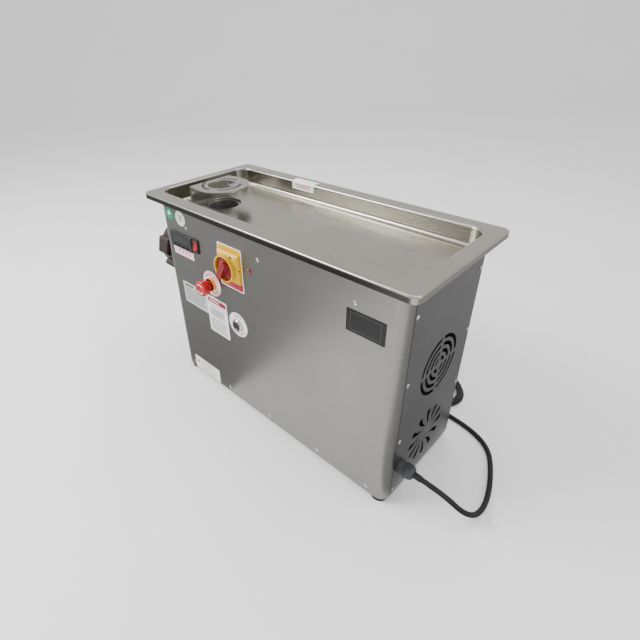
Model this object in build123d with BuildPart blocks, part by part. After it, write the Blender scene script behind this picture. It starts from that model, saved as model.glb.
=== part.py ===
from build123d import *
from math import asin, cos, degrees, pi, radians, sin, sqrt, tan
import os

# Refrigerated meat mincer: a stainless cabinet with a feed tray on top, a mincing head that
# leaves by the left end, a geared motor behind it and a small refrigeration set at the right.
# +X runs to the right end, -Y is the front panel, +Z is up. The origin is on the floor, in the
# middle of the machine's box measured without its free cord. Millimetres.

# ---------------------------------------------------------------- driving dimensions
TRAY_LENGTH = 668
TRAY_WIDTH = 299
RIM_HEIGHT = 474          # panel edge to the top of the rim
RIM_LIP = 12
RIM_BORDER_X = 20
RIM_BORDER_Y = 28
TRAY_DEPTH = 36
TRAY_SHEET = 1.5
TRAY_CORNER = 14
RIM_ROLL = 4              # radius from the flat rim down into the bowl
BOWL_CORNER = 26
BOWL_FILLET = 7
BOWL_SHIFT = -5           # bowl centre, from the tray's centre, along X
BODY_LENGTH = 632
BODY_WIDTH = 244
TRAY_SHIFT = 6.5          # front panel's zero, from the tray's centre, along X
CONTROLS_FROM_RIGHT = 303 # zero of the front panel's own measures, from the right end
CORNER_RADIUS = 20
SEAM_DEPTH = 21           # front panel's return round each vertical corner
SHEET = 1.2
FRAME_SHEET = 1.5
FOOT_HEIGHT = 12
PANEL_HEIGHT = 458        # sheet panels, up under the tray's rim
HEAD_OFFSET_Y = -18      # mincing head and feed hole, from the tray's centre
FEED_OFFSET_X = -233      # feed hole, from the zero of the front panel's measures
HEAD_AXIS_HEIGHT = 290    # above the panel edge
NUT_REACH = 103           # ring nut's outer face, beyond the left end
STOP_REACH = 33           # emergency stop's crown, beyond the front panel
GLAND_REACH = 46          # cable gland's nose, beyond the right end
PANEL_GAP = 0.8

# ---------------------------------------------------------------- places worked out from them
BODY_X = (NUT_REACH - GLAND_REACH) / 2
BODY_Y = (BODY_WIDTH / 2 + STOP_REACH - TRAY_WIDTH / 2) / 2
LEFT_X = BODY_X - BODY_LENGTH / 2
RIGHT_X = BODY_X + BODY_LENGTH / 2
CONTROLS_X = RIGHT_X - CONTROLS_FROM_RIGHT
TRAY_X = CONTROLS_X - TRAY_SHIFT
BOWL_X = TRAY_X + BOWL_SHIFT
FRONT_Y = BODY_Y - BODY_WIDTH / 2
REAR_Y = BODY_Y + BODY_WIDTH / 2
RIM_TOP = FOOT_HEIGHT + RIM_HEIGHT
BOWL_FLOOR = RIM_TOP - TRAY_DEPTH
CABINET_TOP = BOWL_FLOOR - TRAY_SHEET
HEAD_Y = BODY_Y + HEAD_OFFSET_Y
HEAD_Z = FOOT_HEIGHT + HEAD_AXIS_HEIGHT
PANEL_TOP = FOOT_HEIGHT + PANEL_HEIGHT
FEED_X = CONTROLS_X + FEED_OFFSET_X

FRONT = Plane(origin=(CONTROLS_X, FRONT_Y, FOOT_HEIGHT), x_dir=(1, 0, 0), z_dir=(0, -1, 0))
REAR = Plane(origin=(BODY_X, REAR_Y, FOOT_HEIGHT), x_dir=(-1, 0, 0), z_dir=(0, 1, 0))
RIGHT = Plane(origin=(RIGHT_X, FRONT_Y, FOOT_HEIGHT), x_dir=(0, 1, 0), z_dir=(1, 0, 0))
LEFT = Plane(origin=(LEFT_X, FRONT_Y, FOOT_HEIGHT), x_dir=(0, -1, 0), z_dir=(-1, 0, 0))

os.makedirs("parts", exist_ok=True)


def save(builder, label):
    """Name a finished piece and write its STEP file."""
    builder.part.label = label
    export_step(builder.part, f"parts/{label}.step")


def across(x, y=HEAD_Y, z=HEAD_Z):
    """Plane across the machine's length, its normal along +X."""
    return Plane(origin=(x, y, z), x_dir=(0, 1, 0), z_dir=(1, 0, 0))


def rod(plane, radius, length, mode=Mode.ADD):
    """Round bar or bore that starts on a plane."""
    with BuildSketch(plane) as section:
        Circle(radius)
    extrude(section.sketch, amount=length, mode=mode)


def ring(plane, outer, inner, length, mode=Mode.ADD):
    """Plain ring that starts on a plane."""
    with BuildSketch(plane) as section:
        Circle(outer)
        Circle(inner, mode=Mode.SUBTRACT)
    extrude(section.sketch, amount=length, mode=mode)


def bar(plane, width, height, length, mode=Mode.ADD, at=(0, 0), corner=0):
    """Rectangular bar or hole that starts on a plane."""
    with BuildSketch(plane) as section:
        with Locations(at):
            if corner:
                RectangleRounded(width, height, corner)
            else:
                Rectangle(width, height)
    extrude(section.sketch, amount=length, mode=mode)


def box_between(low, high, mode=Mode.ADD):
    """Box between two corners."""
    size = [h - l for l, h in zip(low, high)]
    middle = [(h + l) / 2 for l, h in zip(low, high)]
    with Locations(tuple(middle)):
        Box(*size, mode=mode)


def cabinet_section(inset, height):
    """Plan of the cabinet, inset all round, with its two rounded front corners."""
    with BuildSketch(Plane.XY.offset(height)) as section:
        with Locations((BODY_X, BODY_Y)):
            Rectangle(BODY_LENGTH - 2 * inset, BODY_WIDTH - 2 * inset)
        fillet(section.vertices().group_by(Axis.Y)[0], CORNER_RADIUS - inset)
    return section.sketch


def holes(plane, points, radius, depth):
    """Drill a panel from its outer face."""
    with BuildSketch(plane) as section:
        with Locations(*points):
            Circle(radius)
    extrude(section.sketch, amount=-depth, mode=Mode.SUBTRACT)


# ---------------------------------------------------------------- screw places on the panels
FRONT_SCREWS = [(x, 408) for x in (-236, -10, 212)] + [(x, 14) for x in (-295, -148, -6, 138, 262)]
END_SCREWS = [(29, z) for z in (407, 275, 144, 14)] + [(237, z) for z in (407, 277, 147, 16)]
LEFT_SCREWS = [(-d, z) for d, z in END_SCREWS]
REAR_SCREWS = [(x, z) for x in (-290, 0, 290) for z in (408, 14)]
REAR_SCREWS += [(x, z) for x in (-302, 302) for z in (212, 330, 90)]
SCREW_HOLE = 2.3
SCREW_RADIUS = 2.0
SCREW_LENGTH = 9
HEAD_RADIUS = 4.4
HEAD_HEIGHT = 2.6
THREAD_HOLE = 2.05

# ---------------------------------------------------------------- controls on the front panel
THERMOSTAT_AT = (-258, 374)
THERMOSTAT_SIZE = (77, 35)
THERMOSTAT_CUT = (71, 29)
ROCKER_AT = (-207, 377)
ROCKER_SIZE = (21, 32)
ROCKER_CUT = (18, 28)
SWITCH_AT = (-93, 368)
SWITCH_SIZE = 64
STOP_AT = (-166, 300)
START_AT = (-88, 228)
LAMP_AT = (-36, 376)
STOP_HOLE = 11
LAMP_HOLE = 4

# ---------------------------------------------------------------- vents in the right end
VENT_AT = (136, 254)
VENT_SLOTS = ((61, 53.5), (46.5, 39), (32, 24.5), (17.5, 10))
VENT_BRIDGE = 8
FLOWER_AT = (131, 87)
FLOWER_PETALS = 12
GLAND_AT = (44, 68)
GLAND_HOLE = 10.2
GLAND_NUT = 16


def vent_slots():
    """Four rings of arc slots, cut by a cross of bridges."""
    with BuildSketch(RIGHT) as section:
        with Locations(VENT_AT):
            for outer, inner in VENT_SLOTS:
                Circle(outer)
                Circle(inner, mode=Mode.SUBTRACT)
            Rectangle(2 * VENT_SLOTS[0][0] + 2, VENT_BRIDGE, mode=Mode.SUBTRACT)
            Rectangle(VENT_BRIDGE, 2 * VENT_SLOTS[0][0] + 2, mode=Mode.SUBTRACT)
    extrude(section.sketch, amount=-3 * SHEET, mode=Mode.SUBTRACT)


def flower_slots():
    """Twelve curved petals, narrow at the middle and round at the outer end."""
    with BuildSketch() as petal:
        with BuildLine():
            Spline((17, -8.5), (32, 0.5), (54, 5.0))
            ThreePointArc((54, 5.0), (60.5, -1.5), (53, -6.5))
            Spline((53, -6.5), (33, -4.0), (17, -8.5))
        make_face()
    with BuildSketch(RIGHT) as section:
        with Locations(FLOWER_AT):
            with PolarLocations(0, FLOWER_PETALS):
                add(petal.sketch)
    extrude(section.sketch, amount=-3 * SHEET, mode=Mode.SUBTRACT)


# ================================================================ cabinet
with BuildPart() as front_panel:
    with BuildSketch(Plane.XY.offset(FOOT_HEIGHT)):
        with BuildLine():
            FilletPolyline(
                (LEFT_X, FRONT_Y + SEAM_DEPTH),
                (LEFT_X, FRONT_Y),
                (RIGHT_X, FRONT_Y),
                (RIGHT_X, FRONT_Y + SEAM_DEPTH),
                radius=CORNER_RADIUS,
            )
            offset(amount=SHEET, side=Side.LEFT)
        make_face()
    extrude(amount=PANEL_HEIGHT)
    holes(FRONT, FRONT_SCREWS, SCREW_HOLE, 3 * SHEET)
    holes(FRONT, [STOP_AT, START_AT, SWITCH_AT], STOP_HOLE + 0.2, 3 * SHEET)
    holes(FRONT, [LAMP_AT], LAMP_HOLE + 0.1, 3 * SHEET)
    bar(FRONT, *THERMOSTAT_CUT, -3 * SHEET, Mode.SUBTRACT, THERMOSTAT_AT)
    bar(FRONT, *ROCKER_CUT, -3 * SHEET, Mode.SUBTRACT, ROCKER_AT)
save(front_panel, "front_panel")


def end_panel_sheet(x_low):
    """Flat end sheet between the front panel's return and the rear panel."""
    box_between(
        (x_low, FRONT_Y + SEAM_DEPTH + PANEL_GAP, FOOT_HEIGHT),
        (x_low + SHEET, REAR_Y - SHEET - PANEL_GAP, PANEL_TOP),
    )


with BuildPart() as right_end_panel:
    end_panel_sheet(RIGHT_X - SHEET)
    holes(RIGHT, END_SCREWS, SCREW_HOLE, 3 * SHEET)
    holes(RIGHT, [GLAND_AT], GLAND_HOLE, 3 * SHEET)
    vent_slots()
    flower_slots()
save(right_end_panel, "right_end_panel")

HEAD_OPENING = 52
KNOB_FROM_HEAD = (-88, -8)
LEFT_HEAD_AT = (-(HEAD_Y - FRONT_Y), HEAD_AXIS_HEIGHT)
LEFT_KNOB_AT = (LEFT_HEAD_AT[0] + KNOB_FROM_HEAD[0], LEFT_HEAD_AT[1] + KNOB_FROM_HEAD[1])
KNOB_HOLE = 5

with BuildPart() as left_end_panel:
    end_panel_sheet(LEFT_X)
    holes(LEFT, LEFT_SCREWS, SCREW_HOLE, 3 * SHEET)
    holes(LEFT, [LEFT_HEAD_AT], HEAD_OPENING, 3 * SHEET)
    holes(LEFT, [LEFT_KNOB_AT], KNOB_HOLE, 3 * SHEET)
save(left_end_panel, "left_end_panel")

LOUVRE_ROWS = 9
LOUVRE_PITCH = 16
LOUVRE_SIZE = (110, 6)

with BuildPart() as rear_panel:
    box_between(
        (LEFT_X, REAR_Y - SHEET, FOOT_HEIGHT),
        (RIGHT_X, REAR_Y, PANEL_TOP),
    )
    holes(REAR, REAR_SCREWS, SCREW_HOLE, 3 * SHEET)
    with BuildSketch(REAR):
        with Locations((-190, 250)):
            with GridLocations(0, LOUVRE_PITCH, 1, LOUVRE_ROWS):
                SlotOverall(*LOUVRE_SIZE)
        with Locations((-30, 150)):
            with GridLocations(0, LOUVRE_PITCH, 1, LOUVRE_ROWS):
                SlotOverall(*LOUVRE_SIZE)
    extrude(amount=-3 * SHEET, mode=Mode.SUBTRACT)
save(rear_panel, "rear_panel")

BASE_FLANGE = 20
FOOT_INSET_X = 21
FOOT_INSET_Y = 19
FOOT_PLACES = [
    (BODY_X + i * (BODY_LENGTH / 2 - FOOT_INSET_X), BODY_Y + j * (BODY_WIDTH / 2 - FOOT_INSET_Y))
    for i in (-1, 1)
    for j in (-1, 1)
]
FOOT_BOLT = 2.5
INSIDE = SHEET + 0.1

with BuildPart() as base_plate:
    extrude(cabinet_section(INSIDE, FOOT_HEIGHT), amount=BASE_FLANGE)
    extrude(
        cabinet_section(INSIDE + FRAME_SHEET, FOOT_HEIGHT + FRAME_SHEET),
        amount=BASE_FLANGE,
        mode=Mode.SUBTRACT,
    )
    with BuildSketch(Plane.XY.offset(FOOT_HEIGHT)):
        with Locations(*FOOT_PLACES):
            Circle(FOOT_BOLT + 0.1)
        with Locations((BODY_X - 120, BODY_Y)):
            with GridLocations(14, 0, 8, 1):
                SlotOverall(80, 6, rotation=90)
    extrude(amount=FRAME_SHEET, mode=Mode.SUBTRACT)
    holes(FRONT, FRONT_SCREWS, THREAD_HOLE, 6)
    holes(REAR, REAR_SCREWS, THREAD_HOLE, 6)
    holes(RIGHT, END_SCREWS, THREAD_HOLE, 6)
    holes(LEFT, LEFT_SCREWS, THREAD_HOLE, 6)
save(base_plate, "base_plate")

FRAME_DROP = 26
FRAME_LEDGE = 20

with BuildPart() as top_frame:
    extrude(cabinet_section(INSIDE, CABINET_TOP - FRAME_DROP), amount=FRAME_DROP)
    extrude(
        cabinet_section(INSIDE + FRAME_SHEET, CABINET_TOP - FRAME_DROP),
        amount=FRAME_DROP - FRAME_SHEET,
        mode=Mode.SUBTRACT,
    )
    box_between(
        (LEFT_X + FRAME_LEDGE, FRONT_Y + FRAME_LEDGE, CABINET_TOP - FRAME_DROP),
        (RIGHT_X - FRAME_LEDGE, REAR_Y - FRAME_LEDGE, CABINET_TOP + FRAME_SHEET),
        mode=Mode.SUBTRACT,
    )
    holes(FRONT, FRONT_SCREWS, THREAD_HOLE, 6)
    holes(REAR, REAR_SCREWS, THREAD_HOLE, 6)
    holes(RIGHT, END_SCREWS, THREAD_HOLE, 6)
    holes(LEFT, LEFT_SCREWS, THREAD_HOLE, 6)
save(top_frame, "top_frame")

POST_LEG = 24
POST_TURN = 15
POST_LOW = FOOT_HEIGHT + BASE_FLANGE
POST_HIGH = CABINET_TOP - FRAME_DROP


def post(x_outer, side, y_outer, toward):
    """Corner angle: one leg on the end panel, the other turned in across the machine."""
    x_low, x_high = sorted((x_outer, x_outer - side * FRAME_SHEET))
    y_low, y_high = sorted((y_outer, y_outer + toward * POST_LEG))
    box_between((x_low, y_low, POST_LOW), (x_high, y_high, POST_HIGH))
    x_low, x_high = sorted((x_outer, x_outer - side * POST_TURN))
    y_low, y_high = sorted((y_outer, y_outer + toward * FRAME_SHEET))
    box_between((x_low, y_low, POST_LOW), (x_high, y_high, POST_HIGH))


with BuildPart() as corner_posts:
    for x_outer, side in ((RIGHT_X - INSIDE, 1), (LEFT_X + INSIDE, -1)):
        post(x_outer, side, FRONT_Y + SEAM_DEPTH - 1, 1)
        post(x_outer, side, REAR_Y - INSIDE, -1)
    holes(REAR, REAR_SCREWS, THREAD_HOLE, 6)
    holes(RIGHT, END_SCREWS, THREAD_HOLE, 6)
    holes(LEFT, LEFT_SCREWS, THREAD_HOLE, 6)
    holes(RIGHT, [GLAND_AT], GLAND_NUT + 1, 4)
save(corner_posts, "corner_posts")

# One pan-head screw, its head on the XY plane, then copies of it on every panel.
with BuildPart() as screw:
    with BuildSketch(Plane.XZ):
        with BuildLine():
            Polyline((0, HEAD_HEIGHT), (0, 0), (HEAD_RADIUS, 0), (HEAD_RADIUS, 0.8))
            RadiusArc((HEAD_RADIUS, 0.8), (0, HEAD_HEIGHT), -6.6)
        make_face()
    revolve(axis=Axis.Z)
    rod(Plane.XY, SCREW_RADIUS, -SCREW_LENGTH)
    with BuildSketch(Plane.XY.offset(1.0)):
        Rectangle(4.4, 0.8)
        Rectangle(0.8, 4.4)
    extrude(amount=HEAD_HEIGHT, mode=Mode.SUBTRACT)


def screw_group(*rows):
    """Copies of the panel screw; each row is a panel's plane and its points."""
    for plane, points in rows:
        with Locations(*[(plane * Location((x, y, 0))) for x, y in points]):
            add(screw.part)


with BuildPart() as panel_screws:
    screw_group((FRONT, FRONT_SCREWS), (REAR, REAR_SCREWS), (RIGHT, END_SCREWS), (LEFT, LEFT_SCREWS))
save(panel_screws, "panel_screws")

FOOT_RADIUS = 16
FOOT_TOP_RADIUS = 13

with BuildPart() as rubber_feet:
    with Locations(*[(x, y, 0) for x, y in FOOT_PLACES]):
        Cone(FOOT_RADIUS, FOOT_TOP_RADIUS, FOOT_HEIGHT, align=(Align.CENTER, Align.CENTER, Align.MIN))
        Cylinder(
            FOOT_BOLT + 0.05,
            FOOT_HEIGHT,
            align=(Align.CENTER, Align.CENTER, Align.MIN),
            mode=Mode.SUBTRACT,
        )
        Cylinder(
            6,
            6,
            align=(Align.CENTER, Align.CENTER, Align.MIN),
            mode=Mode.SUBTRACT,
        )
save(rubber_feet, "rubber_feet")

# ================================================================ tray
FEED_HOLE = 38
COLLAR_DROP = 10
RIM_EDGE = 3
HOLE_ROUND = 1.3
SLAB_MARGIN = 40
FLAT_LENGTH = TRAY_LENGTH - 2 * RIM_BORDER_X
FLAT_WIDTH = TRAY_WIDTH - 2 * RIM_BORDER_Y
BOWL_LENGTH = FLAT_LENGTH - 2 * RIM_ROLL
BOWL_WIDTH = FLAT_WIDTH - 2 * RIM_ROLL


def tray_outline(height, inset):
    """Rounded outline of the whole tray."""
    with BuildSketch(Plane.XY.offset(height)) as section:
        with Locations((TRAY_X, BODY_Y)):
            RectangleRounded(
                TRAY_LENGTH - 2 * inset, TRAY_WIDTH - 2 * inset, max(TRAY_CORNER - inset, 1)
            )
    return section.sketch


def pressing(skin):
    """Solid under a slab: the bowl's shape with its rolled edge, grown by a skin."""
    with BuildPart() as shape:
        with BuildSketch(Plane.XY.offset(BOWL_FLOOR - skin)):
            with Locations((BOWL_X, BODY_Y)):
                RectangleRounded(BOWL_LENGTH + 2 * skin, BOWL_WIDTH + 2 * skin, BOWL_CORNER + skin)
        extrude(amount=TRAY_DEPTH)
        fillet(shape.faces().sort_by(Axis.Z)[0].edges(), BOWL_FILLET + skin)
        extrude(tray_outline(RIM_TOP - skin, -SLAB_MARGIN), amount=SLAB_MARGIN)
        roll = shape.edges().filter_by_position(Axis.Z, RIM_TOP - skin - 0.01, RIM_TOP - skin + 0.01)
        inner = [
            edge
            for edge in roll
            if abs(edge.center().X - BOWL_X) < BOWL_LENGTH / 2 + 2 * skin
            and abs(edge.center().Y - BODY_Y) < BOWL_WIDTH / 2 + 2 * skin
        ]
        fillet(inner, RIM_ROLL - skin)
    return shape.part


bowl_outside = pressing(TRAY_SHEET)
bowl_inside = pressing(0)

with BuildPart() as tray:
    add(bowl_outside)
    add(bowl_inside, mode=Mode.SUBTRACT)
    extrude(tray_outline(CABINET_TOP - 1, 0), amount=TRAY_DEPTH + RIM_LIP, mode=Mode.INTERSECT)
    with BuildSketch(Plane.XY.offset(RIM_TOP - RIM_LIP)):
        with Locations((TRAY_X, BODY_Y)):
            RectangleRounded(TRAY_LENGTH, TRAY_WIDTH, TRAY_CORNER)
            RectangleRounded(
                TRAY_LENGTH - 2 * TRAY_SHEET,
                TRAY_WIDTH - 2 * TRAY_SHEET,
                TRAY_CORNER - TRAY_SHEET,
                mode=Mode.SUBTRACT,
            )
    extrude(amount=RIM_LIP - TRAY_SHEET)
    outer_edges = [
        edge
        for edge in tray.edges().filter_by_position(Axis.Z, RIM_TOP - 0.01, RIM_TOP + 0.01)
        if abs(edge.center().X - TRAY_X) > TRAY_LENGTH / 2 - TRAY_CORNER
        or abs(edge.center().Y - BODY_Y) > TRAY_WIDTH / 2 - TRAY_CORNER
    ]
    fillet(outer_edges, RIM_EDGE)
    feed_plane = Plane(origin=(FEED_X, HEAD_Y, BOWL_FLOOR - COLLAR_DROP))
    rod(feed_plane, FEED_HOLE + TRAY_SHEET, COLLAR_DROP)
    rod(feed_plane.offset(-1), FEED_HOLE, COLLAR_DROP + 3, Mode.SUBTRACT)
    hole_rim = [
        edge
        for edge in tray.edges().filter_by_position(Axis.Z, BOWL_FLOOR - 0.01, BOWL_FLOOR + 0.01)
        if edge.geom_type == GeomType.CIRCLE and abs(edge.radius - FEED_HOLE) < 0.1
    ]
    fillet(hole_rim, HOLE_ROUND)
save(tray, "tray")

# Feed guard: a plate ring over the feed hole, on a leg that two bolts hold to an angle on the floor.
GUARD_THICKNESS = 3
GUARD_RADIUS = 60
GUARD_OPENING = 30
GUARD_SLOT = (36, 45)
GUARD_ARCS = ((-50, 95), (88, 60), (200, 82))
GUARD_TOP = RIM_TOP + 6
GUARD_REACH = 45
LEG_X = FEED_X - GUARD_REACH
TAB_HALF = 54
ANGLE_GAP = 0.2
ANGLE_FLANGE = 19
ANGLE_HALF = 50
ANGLE_DROP = 8
GUARD_BOLT_Y = (-46, 46)
GUARD_BOLT_Z = GUARD_TOP - 17
GUARD_BEND = 2.5

corner_distance = sqrt(GUARD_REACH**2 + TAB_HALF**2)
tangent_turn = degrees(pi / 2 - asin(GUARD_RADIUS / corner_distance))
touch_angle = degrees(pi / 2 + asin(GUARD_REACH / corner_distance)) - tangent_turn
touch_x = GUARD_RADIUS * cos(radians(touch_angle))
touch_y = GUARD_RADIUS * sin(radians(touch_angle))

with BuildPart() as feed_guard:
    with BuildSketch(Plane(origin=(FEED_X, HEAD_Y, GUARD_TOP - GUARD_THICKNESS))):
        with BuildLine():
            Polyline(
                (touch_x, touch_y), (-GUARD_REACH, TAB_HALF), (-GUARD_REACH, -TAB_HALF), (touch_x, -touch_y)
            )
            ThreePointArc((touch_x, -touch_y), (GUARD_RADIUS, 0), (touch_x, touch_y))
        make_face()
        Circle(GUARD_OPENING, mode=Mode.SUBTRACT)
        for start, arc_angle in GUARD_ARCS:
            slot_line = CenterArc((0, 0), sum(GUARD_SLOT) / 2, start, arc_angle, mode=Mode.PRIVATE)
            SlotArc(slot_line, GUARD_SLOT[1] - GUARD_SLOT[0], mode=Mode.SUBTRACT)
    extrude(amount=GUARD_THICKNESS)
    box_between(
        (LEG_X, HEAD_Y - TAB_HALF, BOWL_FLOOR + ANGLE_DROP),
        (LEG_X + GUARD_THICKNESS, HEAD_Y + TAB_HALF, GUARD_TOP),
    )
    bend_edge = feed_guard.edges().filter_by(Axis.Y).group_by(Axis.Z)[-1].sort_by(Axis.X)[0]
    fillet(bend_edge, GUARD_BEND)
    for bolt_y in GUARD_BOLT_Y:
        rod(across(LEG_X - 1, HEAD_Y + bolt_y, GUARD_BOLT_Z), 3.1, 8, Mode.SUBTRACT)
    angle_x = LEG_X - ANGLE_GAP
    box_between(
        (angle_x - GUARD_THICKNESS, HEAD_Y - ANGLE_HALF, BOWL_FLOOR + ANGLE_GAP),
        (angle_x, HEAD_Y + ANGLE_HALF, GUARD_TOP - ANGLE_DROP),
    )
    box_between(
        (angle_x - ANGLE_FLANGE, HEAD_Y - ANGLE_HALF, BOWL_FLOOR + ANGLE_GAP),
        (angle_x, HEAD_Y + ANGLE_HALF, BOWL_FLOOR + ANGLE_GAP + GUARD_THICKNESS),
    )
    for bolt_y in GUARD_BOLT_Y:
        rod(across(angle_x - 4, HEAD_Y + bolt_y, GUARD_BOLT_Z), 3.1, 5, Mode.SUBTRACT)
save(feed_guard, "feed_guard")

with BuildPart() as hex_bolts:
    for bolt_y in GUARD_BOLT_Y:
        bolt_plane = across(LEG_X + GUARD_THICKNESS, HEAD_Y + bolt_y, GUARD_BOLT_Z)
        rod(bolt_plane, 5.6, 0.8)
        with BuildSketch(bolt_plane.offset(0.8)) as head_section:
            RegularPolygon(5, 6)
        extrude(head_section.sketch, amount=3.6)
        rod(bolt_plane, 3, -2 * GUARD_THICKNESS)
    for x, y in FOOT_PLACES:
        rod(Plane(origin=(x, y, 2.4)), 5, 3.6)
        rod(Plane(origin=(x, y, 6)), FOOT_BOLT, 16)
        with BuildSketch(Plane(origin=(x, y, FOOT_HEIGHT + FRAME_SHEET))) as nut_section:
            RegularPolygon(4.6, 6)
        extrude(nut_section.sketch, amount=4)
save(hex_bolts, "hex_bolts")

# ================================================================ mincing head
BORE = 41
BARREL_RADIUS = 48
MOUTH_X = LEFT_X - 86
BARREL_REAR = LEFT_X + 168
REAR_WALL = 10
SEAT_DEPTH = 22
SCREW_BORE = 38
THROAT_OUTER = 37.5
THROAT_INNER = 33
THROAT_TOP = BOWL_FLOOR - 5
SHAFT_RADIUS = 14
RUNNING = 0.06
HUB_FLANGE = 56

with BuildPart() as mincer_barrel:
    rod(across(MOUTH_X), BARREL_RADIUS, BARREL_REAR - MOUTH_X)
    rod(across(BARREL_REAR - REAR_WALL), HUB_FLANGE, REAR_WALL)
    rod(Plane(origin=(FEED_X, HEAD_Y, HEAD_Z)), THROAT_OUTER, THROAT_TOP - HEAD_Z)
    rod(across(MOUTH_X), SCREW_BORE, BARREL_REAR - REAR_WALL - MOUTH_X, Mode.SUBTRACT)
    rod(across(MOUTH_X), BORE, SEAT_DEPTH, Mode.SUBTRACT)
    rod(across(MOUTH_X), SHAFT_RADIUS + RUNNING, BARREL_REAR - MOUTH_X, Mode.SUBTRACT)
    rod(Plane(origin=(FEED_X, HEAD_Y, HEAD_Z)), THROAT_INNER, THROAT_TOP - HEAD_Z, Mode.SUBTRACT)
save(mincer_barrel, "mincer_barrel")

NUT_RADIUS = 64
NUT_LUG_RADIUS = 75
NUT_LUGS = 6
NUT_LUG_ANGLE = 34
NUT_FIRST_LUG = 167
NUT_LIP = 9
NUT_MOUTH = 34
NUT_LENGTH = 48
NUT_X = LEFT_X - NUT_REACH

with BuildPart() as ring_nut:
    rod(across(NUT_X), NUT_RADIUS, NUT_LENGTH)
    with BuildSketch(across(NUT_X + 5)):
        for lug in range(NUT_LUGS):
            with Locations(Rotation(0, 0, NUT_FIRST_LUG + lug * 360 / NUT_LUGS)):
                with Locations((NUT_LUG_RADIUS - 11, 0)):
                    RectangleRounded(22, 2 * NUT_LUG_RADIUS * sin(radians(NUT_LUG_ANGLE / 2)), 7)
    extrude(amount=NUT_LENGTH - 10)
    rod(across(NUT_X + NUT_LIP), BARREL_RADIUS + RUNNING, NUT_LENGTH, Mode.SUBTRACT)
    rod(across(NUT_X), NUT_MOUTH, NUT_LENGTH, Mode.SUBTRACT)
    chamfer(
        ring_nut.edges()
        .filter_by(GeomType.CIRCLE)
        .filter_by_position(Axis.X, NUT_X - 0.01, NUT_X + 0.01)
        .sort_by(SortBy.RADIUS)[0],
        6,
    )
save(ring_nut, "ring_nut")

PLATE_GAP = 0.3
PLATE_THICKNESS = 10
PLATE_X = NUT_X + NUT_LIP + PLATE_GAP
PLATE_RINGS = ((14, 8), (21, 12), (28, 18))
PLATE_HOLE = 2.5
PIN_RADIUS = 8

with BuildPart() as mincing_plate:
    rod(across(PLATE_X), BORE - 0.1, PLATE_THICKNESS)
    rod(across(PLATE_X), PIN_RADIUS + RUNNING, PLATE_THICKNESS, Mode.SUBTRACT)
    with BuildSketch(across(PLATE_X)):
        for ring_radius, count in PLATE_RINGS:
            with PolarLocations(ring_radius, count):
                Circle(PLATE_HOLE)
    extrude(amount=PLATE_THICKNESS, mode=Mode.SUBTRACT)
save(mincing_plate, "mincing_plate")

KNIFE_X = PLATE_X + PLATE_THICKNESS + PLATE_GAP
KNIFE_THICKNESS = 10
KNIFE_TIP = 36
KNIFE_BLADE = 11

with BuildPart() as knife:
    rod(across(KNIFE_X), 15, KNIFE_THICKNESS)
    with BuildSketch(across(KNIFE_X)):
        with PolarLocations(0, 4):
            with Locations((KNIFE_TIP / 2, KNIFE_BLADE / 4)):
                Rectangle(KNIFE_TIP, KNIFE_BLADE)
    extrude(amount=KNIFE_THICKNESS)
    bar(across(KNIFE_X), 2 * PIN_RADIUS, 2 * PIN_RADIUS, KNIFE_THICKNESS, Mode.SUBTRACT)
save(knife, "knife")

SCREW_X = KNIFE_X + KNIFE_THICKNESS
SCREW_REAR = BARREL_REAR - REAR_WALL - 1.5
FLIGHT_PITCH = 46
FLIGHT_RADIUS = 36.5
CORE_RADIUS = 15
FLIGHT_MIDDLE = (FLIGHT_RADIUS + CORE_RADIUS) / 2
FLIGHT_THICKNESS = 6
FLIGHT_END = 10
SQUARE_TAIL = 15.8
TAIL_LENGTH = 20

with BuildPart() as feed_screw:
    with BuildLine() as flight_path:
        Helix(
            pitch=FLIGHT_PITCH,
            height=SCREW_REAR - SCREW_X - 2 * FLIGHT_END,
            radius=FLIGHT_MIDDLE,
            center=(SCREW_X + FLIGHT_END, HEAD_Y, HEAD_Z),
            direction=(1, 0, 0),
        )
    flight_start = flight_path.line @ 0
    flight_plane = Plane(
        origin=flight_start,
        x_dir=flight_start - Vector(SCREW_X + FLIGHT_END, HEAD_Y, HEAD_Z),
        z_dir=flight_path.line % 0,
    )
    with BuildSketch(flight_plane) as flight_section:
        Rectangle(FLIGHT_RADIUS - CORE_RADIUS + 4, FLIGHT_THICKNESS)
    sweep(flight_section.sketch, path=flight_path.line, is_frenet=True)
    rod(across(SCREW_X), CORE_RADIUS, SCREW_REAR - SCREW_X)
    bar(across(KNIFE_X), 2 * PIN_RADIUS - 0.1, 2 * PIN_RADIUS - 0.1, KNIFE_THICKNESS)
    rod(across(PLATE_X + 1), PIN_RADIUS, PLATE_THICKNESS + PLATE_GAP)
    bar(across(SCREW_REAR), SQUARE_TAIL, SQUARE_TAIL, TAIL_LENGTH)
    with BuildSketch(across(SCREW_X - 30)) as outside:
        Circle(FLIGHT_RADIUS + 20)
        Circle(FLIGHT_RADIUS, mode=Mode.SUBTRACT)
    extrude(outside.sketch, amount=SCREW_REAR - SCREW_X + 80, mode=Mode.SUBTRACT)
save(feed_screw, "feed_screw")

# Knob that clamps the head, with its long threaded pin into the cooling saddle.
KNOB_Y = FRONT_Y - LEFT_KNOB_AT[0]
KNOB_Z = FOOT_HEIGHT + LEFT_KNOB_AT[1]
KNOB_PIN = 4
KNOB_X = LEFT_X - 34
KNOB_LENGTH = 26
CLAMP_X = LEFT_X + 30

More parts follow.
